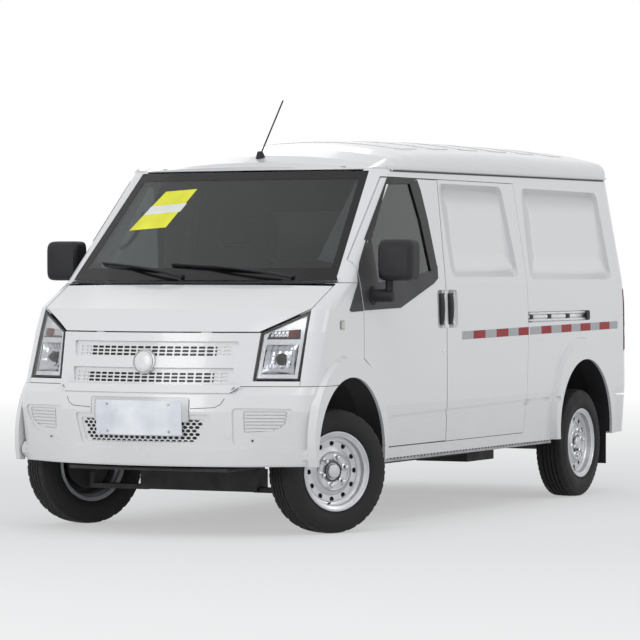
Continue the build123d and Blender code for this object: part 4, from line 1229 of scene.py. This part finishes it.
def make_roof_trim():
    tree = target_tree(["roof"])
    shape = bmesh.new()
    for number in range(RIB_COUNT):
        y = RIB_START + number * RIB_PITCH
        outline = rounded(rectangle(-RIB_HALF, y, RIB_HALF, y + RIB_LENGTH), 0.05)
        draped(shape, outline, VIEWS["top"], tree, -0.001, RIB_RISE, 0.12)
    add_piece("roof_ribs", shape, SHADED_ROOF_WHITE, smooth_angle=20)
    for side, _ in SIDES:
        lip = bmesh.new()
        draped(lip, GUTTER_LIP, VIEWS[side], target_tree(["roof", f"side_{side}"]), -0.001, 0.009, 0.15)
        add_piece(f"gutter_lip_{side}", lip, SHADED_ROOF_WHITE)


# Wheels: tyres with tread and sidewall rings, nuts, hub cap, valve

TYRE_COUNT, TREAD_BLOCK = 168, 6
WHEEL_ROWS = [
    # name, centre, axis out of the van
    ("front_left", (0.707987, -1.606149, 0.305), (0.882948, -0.469472, 0)),
    ("front_right", (-0.707987, -1.533851, 0.305), (-0.882948, 0.469472, 0)),
    ("rear_left", (0.717, 1.480, 0.305), (1, 0, 0)),
    ("rear_right", (-0.717, 1.480, 0.305), (-1, 0, 0)),
]
TREAD_GROOVES = (-0.036, -0.012, 0.012, 0.036)

WHEEL_FORMS = [
    # name, material, smooth angle, whether the sections close, and the sections with their counts
    ("hub_cap", RIM, 30, False, [
        (40, [(0.050, 0.0), (0.050, 0.0355), (0.058, 0.0345), (0.062, 0.030), (0.064, 0.020),
              (0.0655, 0.010), (0.0660, 0.0)]),
    ]),
    ("wheel_rings", RIM, 40, True, [
        (56, [(0.0440, 0.0985), (0.0520, 0.0960), (0.0560, 0.0915), (0.0530, 0.0865), (0.0460, 0.0845)]),
        (72, [(0.0670, 0.1860), (0.0785, 0.1865), (0.0815, 0.1900), (0.0812, 0.1950), (0.0780, 0.1968),
              (0.0700, 0.1940)]),
        (64, [(0.0345, 0.1530), (0.0385, 0.1520), (0.0395, 0.1480), (0.0350, 0.1450)]),
    ]),
    ("wheel_shadow", CHASSIS, 40, True, [
        (72, [(0.0170, 0.1580), (0.0200, 0.1580), (0.0200, 0.1120), (0.0170, 0.1120)]),
        (48, [(0.0455, 0.0485), (0.0500, 0.0480), (0.0500, 0.0440), (0.0455, 0.0435)]),
    ]),
]
NUT_COUNT, NUT_CIRCLE, NUT_TURN = 6, 0.070, 0.26


def tyre_profile():
    """Open section of the tyre, from the outer bead over the tread to the inner bead."""
    side = [(0.0655, 0.1765), (0.0665, 0.192), (0.0745, 0.197), (0.0805, 0.207), (0.0800, 0.2095),
            (0.0830, 0.213), (0.0868, 0.228), (0.0874, 0.243), (0.0866, 0.257), (0.0848, 0.268),
            (0.0838, 0.2685), (0.0815, 0.277), (0.0795, 0.2835), (0.0770, 0.2915), (0.0725, 0.2985),
            (0.0660, 0.3015), (0.0600, 0.3025)]
    tread = []
    for groove in reversed(TREAD_GROOVES):
        top = 0.305 - 0.7 * groove ** 2
        tread += [(groove + 0.0050, top), (groove + 0.0032, top - 0.0075), (groove - 0.0032, top - 0.0075),
                  (groove - 0.0050, top)]
    return side + tread + [(-a, r) for a, r in reversed(side)]


def make_wheel(name, centre, axis):
    body = f"wheel_{name}"
    centre, axis = Vector(centre), Vector(axis)
    profile = tyre_profile()

    def swell(place, number):
        """How far the tread's cross grooves draw a point in."""
        along_axis, radius = profile[place]
        block = number % TREAD_BLOCK
        if radius > 0.300 and abs(along_axis) > 0.050:
            return -0.0055 if block == 0 else 0
        if 0.276 < radius <= 0.300:
            return -0.0045 if block in (0, 3) else 0
        if radius > 0.300:
            return -0.0030 if (number + int(along_axis * 400)) % TREAD_BLOCK == 0 else 0
        return 0

    shape = bmesh.new()
    turned_into(shape, centre, axis, profile, TYRE_COUNT, closed=True, swell=swell)
    add_piece(f"tyre_tread_{name}", shape, TYRE, body, 28, stands_for=(f"tyre_{name}",))
    _, side, up = frame_of(axis)
    nuts = bmesh.new()
    for number in range(NUT_COUNT):
        turn = 2 * pi * number / NUT_COUNT + NUT_TURN
        spot = centre + (side * cos(turn) + up * sin(turn)) * NUT_CIRCLE + axis * 0.048
        turned_into(nuts, spot, axis,
                    [(-0.006, 0.0), (-0.006, 0.0205), (0.003, 0.0190), (0.007, 0.0145), (0.007, 0.0)], 24)
        turned_into(nuts, spot, axis, [(0.004, 0.0), (0.004, 0.0125), (0.018, 0.0122), (0.0215, 0.0100),
                                       (0.0240, 0.0065), (0.0250, 0.0)], 6, start=turn)
    add_piece(f"wheel_nuts_{name}", nuts, CHROME, body, 30)
    for label, material, smooth_angle, closed, sections in WHEEL_FORMS:
        shape = bmesh.new()
        for count, section in sections:
            turned_into(shape, centre, axis, section, count, closed=closed)
        add_piece(f"{label}_{name}", shape, material, body, smooth_angle)
    valve = bmesh.new()
    spot = centre + up * 0.160 + side * 0.02
    tube_into(valve, [spot + axis * 0.026, spot + axis * 0.052 - up * 0.006], 0.0042, 10)
    add_piece(f"valve_{name}", valve, BLACK, body)


# Cab: padded seats, steering hub, binnacle, vents, grab handle, visors and inner mirror

SEAT_X = 0.370


CHANNEL_DEPTH, CHANNEL_WIDE = 0.007, 0.006


def pad_mesh(middle, half, crown, pull, turn, channels=(), cuts=26, power=7.0):
    """A crowned closed pad: soft corners, sides drawn in between them, sewn channels across the face."""
    shape = bmesh.new()
    bmesh.ops.create_cube(shape, size=2.0)
    bmesh.ops.subdivide_edges(shape, edges=shape.edges[:], cuts=cuts, use_grid_fill=True)
    half = Vector(half)
    for vert in shape.verts:
        a, b, c = vert.co
        size = max((abs(a) ** power + abs(b) ** power + abs(c) ** power) ** (1 / power), 1e-6)
        a, b, c = a / size, b / size, c / size
        x = half.x * a * (1 - pull * (1 - b * b) * abs(a) ** 3)
        y = half.y * b * (1 - pull * (1 - a * a) * abs(b) ** 3)
        z = half.z * c + (crown * (1 - a * a) * (1 - b * b) if c > 0 else 0)
        if c > 0.3:
            for spot, across_x in channels:
                gap = (a if across_x else b) - spot
                z -= CHANNEL_DEPTH * 2.718 ** (-(gap * (half.x if across_x else half.y) / CHANNEL_WIDE) ** 2)
        seam = abs(c) < 0.10
        if seam and max(abs(a), abs(b)) > 0.9:
            x *= 0.985
            y *= 0.985
        vert.co = turn @ Vector((x, y, z)) + Vector(middle)
    return shape


def make_seats():
    for side, hand in SIDES:
        x = hand * SEAT_X
        flat = Matrix.Rotation(radians(-4), 3, "X")
        lean = Matrix.Rotation(radians(90 - 12.5), 3, "X")
        cushion = add_piece(f"seat_cushion_{side}", pad_mesh(
            (x, -0.845, 0.880), (0.235, 0.220, 0.055), 0.020, 0.05, flat,
            ((-0.62, True), (0.62, True), (0.0, False), (0.45, False), (-0.45, False))), SEAT,
            smooth_angle=60)
        back = add_piece(f"seat_back_{side}", pad_mesh(
            (x, -0.600, 1.165), (0.225, 0.255, 0.050), 0.018, 0.05, lean,
            ((-0.62, True), (0.62, True), (-0.1, False), (0.35, False))), SEAT, smooth_angle=60)
        rest = add_piece(f"head_rest_{side}", pad_mesh(
            (x, -0.512, 1.500), (0.118, 0.086, 0.034), 0.010, 0.06, lean, ((0.0, False),), 16), SEAT_SIDE,
            smooth_angle=60)
        frame_shape = bmesh.new()
        box_into(frame_shape, (x - 0.215, -1.040, 0.5605), (x + 0.215, -0.600, 0.800), 0.012, 3)
        box_into(frame_shape, (x - 0.205, -0.585, 0.830), (x + 0.205, -0.500, 0.900), 0.012, 3)
        for rod in (-0.05, 0.05):
            tube_into(frame_shape, [(x + rod, -0.545, 1.36), (x + rod, -0.530, 1.43)], 0.007, 10)
        stands = ("seats",) if hand > 0 else ()
        add_piece(f"seat_base_{side}", frame_shape, CAB, stands_for=stands)


def make_cab():
    wheel_axis = Vector((0, 0.615661, 0.788011))
    centre = Vector((0.37, -1.24, 1.200))
    hub = bmesh.new()
    turned_into(hub, centre, wheel_axis, [(-0.020, 0.0), (-0.020, 0.070), (-0.002, 0.078), (0.012, 0.070),
                                          (0.022, 0.050), (0.025, 0.025), (0.026, 0.0)], 36)
    add_piece("steering_hub", hub, CAB, "steering_wheel")
    dash = bmesh.new()
    box_into(dash, (0.215, -1.600, 1.150), (0.525, -1.440, 1.216), 0.026, 4)
    box_into(dash, (-0.120, -1.440, 0.920), (0.120, -1.372, 1.150), 0.020, 3)
    add_piece("dash_binnacle", dash, CAB)
    vents = bmesh.new()
    for x in (-0.56, -0.08, 0.08, 0.62):
        for n in range(5):
            z = n * 0.010
            box_into(vents, (x - 0.05, -1.416, 1.083 + z), (x + 0.05, -1.396, 1.088 + z), 0.0015, 1)
    add_piece("dash_vents", vents, CAB_GREY)
    grab = bmesh.new()
    tube_into(grab, [(-0.640, -1.290, 1.400), (-0.615, -1.262, 1.418), (-0.596, -1.215, 1.462),
                     (-0.585, -1.165, 1.520), (-0.584, -1.132, 1.560), (-0.604, -1.118, 1.580)], 0.011, 12)
    add_piece("grab_handle", grab, CAB_GREY)
    visors = bmesh.new()
    for hand in (1, -1):
        turn = Matrix.Translation((hand * 0.33, -0.965, 1.790)) @ Matrix.Rotation(radians(-14), 4, "X")
        box_into(visors, (-0.20, -0.075, -0.009), (0.20, 0.075, 0.009), 0.008, 3, turn)
    add_piece("sun_visors", visors, CAB_GREY)
    inner = bmesh.new()
    tube_into(inner, [(0, -1.020, 1.785), (0, -1.040, 1.745)], 0.006, 8)
    turn = Matrix.Translation((0, -1.040, 1.715)) @ Matrix.Rotation(radians(8), 4, "Z")
    box_into(inner, (-0.120, -0.012, -0.033), (0.120, 0.012, 0.033), 0.010, 3, turn)
    add_piece("inner_mirror", inner, CAB)


# Wheel arches: black linings up to the painted edge

ARCH_Z = 0.395
ARCH_FRONT_Y, ARCH_FRONT_RADIUS = FRONT_AXLE - 0.022, 0.369
ARCH_REAR_Y, ARCH_REAR_RADIUS = REAR_AXLE - 0.022, 0.388
ARCH_ROWS = [
    # name, middle of the arch along the van, radius
    ("front", ARCH_FRONT_Y, ARCH_FRONT_RADIUS), ("rear", ARCH_REAR_Y, ARCH_REAR_RADIUS),
]
ARCH_COUNT = 40


def make_arches():
    for side, hand in SIDES:
        for name, middle, radius in ARCH_ROWS:
            shape = bmesh.new()
            fronts, backs = [], []
            for n in range(ARCH_COUNT + 1):
                turn = radians(-6) + radians(192) * n / ARCH_COUNT
                outer, inner = [], []
                for x in (0.712, 0.770, 0.826):
                    for row, size in ((outer, radius - 0.0005), (inner, radius - 0.0025)):
                        row.append(Vector((hand * x, middle + cos(turn) * size, ARCH_Z + sin(turn) * size)))
                fronts.append(outer)
                backs.append(inner)
            grid_into(shape, fronts, backs)
            add_piece(f"arch_lining_{name}_{side}", shape, BLACK)


# Underside: sill strips and their holes, front carrier, rails and cables of the drive

SILL_START, SILL_END, SILL_HOLES, SILL_PITCH = -1.130, 1.080, 54, 0.041


def make_underside():
    for side, hand in SIDES:
        strip = bmesh.new()
        hand_box(strip, hand, (0.772, SILL_START, 0.324), (0.776, SILL_END, 0.352), 0.001, 1)
        hand_box(strip, hand, (0.762, SILL_START, 0.322), (0.776, SILL_END, 0.326), 0.001, 1)
        add_piece(f"sill_strip_{side}", strip, ZINC)
        holes = bmesh.new()
        for number in range(SILL_HOLES):
            turned_into(holes, (hand * 0.7763, -1.105 + number * SILL_PITCH, 0.339), (hand, 0, 0),
                        [(-0.001, 0.0), (-0.001, 0.007), (0.0003, 0.007), (0.0003, 0.0)], 10)
        add_piece(f"sill_holes_{side}", holes, CHASSIS)
    tray = bmesh.new()
    box_into(tray, (-0.440, -2.150, 0.318), (0.440, -1.760, 0.336), 0.008, 2)
    for hand in (1, -1):
        box_into(tray, (hand * 0.36 - 0.03, -2.120, 0.334), (hand * 0.36 + 0.03, -1.700, 0.430), 0.008, 2)
    box_into(tray, (-0.180, -2.020, 0.336), (0.180, -1.760, 0.520), 0.020, 3)
    add_piece("front_carrier", tray, CHASSIS)
    rails = bmesh.new()
    for hand in (1, -1):
        box_into(rails, (hand * 0.50 - 0.035, -0.95, 0.400), (hand * 0.50 + 0.035, 2.05, 0.5235), 0.008, 2)
        cable = [(hand * 0.62, -0.90 + n * 0.15, 0.470 - 0.015 * sin(n * 1.3)) for n in range(14)]
        tube_into(rails, cable, 0.014, 10)
    add_piece("frame_rails", rails, CHASSIS)


# Rear: window border, plate, handle strip, wiper, tail lenses and their bars, bumper reflectors

REAR_PLATE = across(taper(220, 890, 220, 750))
GATE_BORDER = across(taper(520, 1280, 495, 1690))
GATE_STRIP = across(taper(300, 935, 286, 978))
PLATE_LAMPS = [across(rectangle(x - 40, 926, x + 40, 934)) for x in (-130, 130)]
# A black line along the bumper's groove: painted shade in the groove.
BUMPER_GROOVE_SHADE = across(taper(620, 380, 620, 388))
TAIL_ROWS = [
    # name, low, high, material
    ("fog", 0.824, 0.900, LAMP_DARK), ("reverse", 0.906, 0.968, LAMP_CLEAR), ("turn", 0.974, 1.040, AMBER),
    ("stop", 1.046, 1.176, LAMP_DARK),
]
TAIL_ENDS = (0.823, 1.177)


def make_gate(view, gate, glass):
    rows = [
        # name, outlines, surface, material, lift, thickness, step
        ("gate_glass_border", ring_of(inset(GATE_BORDER, 0.004), inset(GATE_BORDER, 0.034)), glass, FRIT,
         0.0002, 0.0006, 0.04),
        ("rear_plate", [rounded(REAR_PLATE, 10 * MM)], gate, PLATE, 0.003, 0.002, 0.08),
        ("rear_plate_base", [rounded(grown(REAR_PLATE, 0.020), 12 * MM)], gate, INNER_WHITE,
         -0.002, 0.005, 0.08),
        ("gate_handle_strip", [rounded(GATE_STRIP, 8 * MM)], gate, BLACK, -0.002, 0.016, 0.08),
        ("plate_lamps", PLATE_LAMPS, gate, LAMP_CLEAR, 0.002, 0.008, 0.04),
    ]
    for name, outlines, tree, material, lift, thickness, step in rows:
        skin_piece(name, outlines, view, tree, material, "tailgate", lift, thickness, step)
    wiper = bmesh.new()
    base, normal, _ = surface_at(view, glass, 0.0, 1.300)
    turned_into(wiper, base, normal, [(0.0, 0.0), (0.0, 0.018), (0.016, 0.015), (0.022, 0.0)], 20)
    arm = traced(view, glass, (0.0, 1.300), (-0.33, 1.355), 8)
    tube_into(wiper, [hit + normal * (0.020 - 0.006 * s) for s, hit, normal in arm], 0.006, 8)
    blade = traced(view, glass, (-0.13, 1.318), (-0.48, 1.378), 10)
    tube_into(wiper, [hit + normal * 0.008 for _, hit, normal in blade], 0.006, 8)
    add_piece("gate_wiper", wiper, BLACK, "tailgate")


def make_tail_lamp(view, side, hand):
    lamp = target_tree(["tail_lamps"], hull=True, keep=lambda place: place.x * hand > 0)
    corner = corner_view(hand, 40, rear=True)
    ends = []
    for seen_from, u in ((view, hand * 0.655), (VIEWS[side], 2.088)):
        for v in TAIL_ENDS:
            hit, _, _ = surface_at(seen_from, lamp, u, v)
            ends.append(corner.seen(hit)[0])
    near, far = min(ends), max(ends)
    for label, low, high, material in TAIL_ROWS:
        outline = rounded(rectangle(near + 0.006, low, far - 0.006, high), 0.008)
        skin_piece(f"tail_lens_{label}_{side}", [outline], corner, lamp, material, lift=-0.001,
                   thickness=0.004, step=0.025)
    rods = [rectangle(near + 0.004, z, far - 0.004, z + 0.006) for z in (0.900, 0.968, 1.040)]
    skin_piece(f"tail_bars_{side}", rods, corner, lamp, GLOSS_BLACK, lift=-0.001, thickness=0.0035,
               step=0.025)


def make_rear():
    view = VIEWS["rear"]
    make_gate(view, target_tree(["tailgate", "tailgate_glass"]), target_tree(["tailgate_glass"]))
    bumper = target_tree(["bumper_rear"])
    spots = [rounded(across(handed(rectangle(560, 440, 700, 475), hand)), 8 * MM) for hand in (1, -1)]
    skin_piece("rear_reflectors", spots, view, bumper, LAMP_RED, lift=-0.001, thickness=0.007, step=0.05)
    # Painted shade: the bumper's groove drawn as a black line.
    skin_piece("rear_bumper_groove_shade", [BUMPER_GROOVE_SHADE], view, bumper, BLACK, lift=-0.001, thickness=0.0025,
               step=0.08)
    for side, hand in SIDES:
        make_tail_lamp(view, side, hand)


# Camera and studio

CAMERA_PLACE = (8.130862, -16.624938, 1.282593)
CAMERA_YAW, CAMERA_PITCH, CAMERA_ROLL = radians(26.42288603), radians(-0.81502232), radians(-0.04895391)
CAMERA_LENS = 192.33
SENSOR = 36.0


def make_camera():
    data = bpy.data.cameras.new("camera")
    data.lens, data.sensor_width = CAMERA_LENS, SENSOR
    camera = placed("camera", data)
    level = cos(CAMERA_PITCH)
    ahead = Vector((-sin(CAMERA_YAW) * level, cos(CAMERA_YAW) * level, sin(CAMERA_PITCH)))
    right = Vector((cos(CAMERA_YAW), sin(CAMERA_YAW), 0))
    up = right.cross(ahead)
    turned_right = right * cos(CAMERA_ROLL) + up * sin(CAMERA_ROLL)
    turned_up = up * cos(CAMERA_ROLL) - right * sin(CAMERA_ROLL)
    turn = Matrix((turned_right, turned_up, -ahead)).transposed().to_4x4()
    camera.matrix_world = Matrix.Translation(CAMERA_PLACE) @ turn
    data.clip_start, data.clip_end = 0.5, 200
    bpy.context.scene.camera = camera


def seen_factor(tree):
    """1 for a ray from the camera, a mirror reflection or through glass, else 0."""
    path = tree.nodes.new("ShaderNodeLightPath")
    total = path.outputs["Is Camera Ray"]
    for name in ("Is Glossy Ray", "Is Transmission Ray"):
        add = tree.nodes.new("ShaderNodeMath")
        add.operation, add.use_clamp = "ADD", True
        tree.links.new(total, add.inputs[0])
        tree.links.new(path.outputs[name], add.inputs[1])
        total = add.outputs["Value"]
    return total


def end_with_mix(tree, output_kind, factor, first, second):
    """Ends a node tree with a mix of two shaders."""
    mix = tree.nodes.new("ShaderNodeMixShader")
    out = tree.nodes.new(output_kind)
    tree.links.new(factor, mix.inputs["Fac"])
    tree.links.new(first.outputs[0], mix.inputs[1])
    tree.links.new(second.outputs[0], mix.inputs[2])
    tree.links.new(mix.outputs[0], out.inputs["Surface"])


def make_world(strength):
    world = bpy.data.worlds.new("studio")
    world.use_nodes = True
    tree = world.node_tree
    tree.nodes.clear()
    light, backdrop = (tree.nodes.new("ShaderNodeBackground") for _ in range(2))
    set_inputs(light, Color=(0.93, 0.96, 1.0, 1), Strength=strength)
    set_inputs(backdrop, Color=(1, 1, 1, 1), Strength=1.0)
    end_with_mix(tree, "ShaderNodeOutputWorld", seen_factor(tree), light, backdrop)
    bpy.context.scene.world = world


FLOOR_REACH = 60.0


def make_floor():
    mesh = bpy.data.meshes.new("floor_stage")
    corners = [(u, v, 0) for u, v in rectangle(-FLOOR_REACH, -FLOOR_REACH, FLOOR_REACH, FLOOR_REACH)]
    mesh.from_pydata(corners, [], [(0, 1, 2, 3)])
    floor = placed("floor_stage", mesh)
    material = bpy.data.materials.new("pale_floor")
    material.use_nodes = True
    tree = material.node_tree
    tree.nodes.clear()
    diffuse = tree.nodes.new("ShaderNodeBsdfDiffuse")
    set_inputs(diffuse, Color=(0.74, 0.74, 0.74, 1))
    glow = tree.nodes.new("ShaderNodeEmission")
    set_inputs(glow, Color=(1, 1, 1, 1))
    place = tree.nodes.new("ShaderNodeTexCoord")
    length = tree.nodes.new("ShaderNodeVectorMath")
    length.operation = "LENGTH"
    tree.links.new(place.outputs["Object"], length.inputs[0])
    fade = tree.nodes.new("ShaderNodeMapRange")
    set_inputs(fade, From_Min=3.0, From_Max=16.0, To_Min=0.45, To_Max=1.0)
    tree.links.new(length.outputs["Value"], fade.inputs["Value"])
    share = tree.nodes.new("ShaderNodeMath")
    share.operation = "MULTIPLY"
    tree.links.new(seen_factor(tree), share.inputs[0])
    tree.links.new(fade.outputs["Result"], share.inputs[1])
    end_with_mix(tree, "ShaderNodeOutputMaterial", share.outputs["Value"], diffuse, glow)
    mesh.materials.append(material)


def make_lamp(name, place, aim, size, power):
    data = bpy.data.lights.new(name, "AREA")
    data.shape, data.size, data.energy = "DISK", size, power
    lamp = placed(name, data)
    lamp.location = place
    lamp.rotation_mode = "QUATERNION"
    lamp.rotation_quaternion = (Vector(aim) - Vector(place)).to_track_quat("-Z", "Y")


WORLD_LIGHT = 0.58
LAMPS = [
    # name, place, aim, size, power
    ("key", (4.0, -6.0, 9.0), (0, 0, 0.8), 6.0, 110.0),
    ("front", (-1.5, -11.0, 3.6), (0, -1.5, 0.7), 5.0, 235.0),
    ("side", (9.0, 1.5, 5.0), (0, 0.3, 1.0), 4.0, 90.0),
    ("back", (-6.0, 8.0, 6.0), (0, 0, 1.0), 5.0, 70.0),
]


def make_studio():
    make_world(WORLD_LIGHT)
    make_floor()
    for row in LAMPS:
        make_lamp(*row)


dress_nodes()
make_camera()
make_studio()
make_screen_trim()
make_wipers()
make_handles()
make_nose()
make_flanks()
make_roof_trim()
for side_name, side_hand in SIDES:
    make_side_trim(side_name, side_hand)
    make_mirror(side_name, side_hand)
    make_headlamp(side_name, side_hand)
for wheel_row in WHEEL_ROWS:
    make_wheel(*wheel_row)
make_arches()
make_seats()
make_cab()
make_underside()
make_rear()
bpy.context.scene.view_settings.view_transform = "Standard"
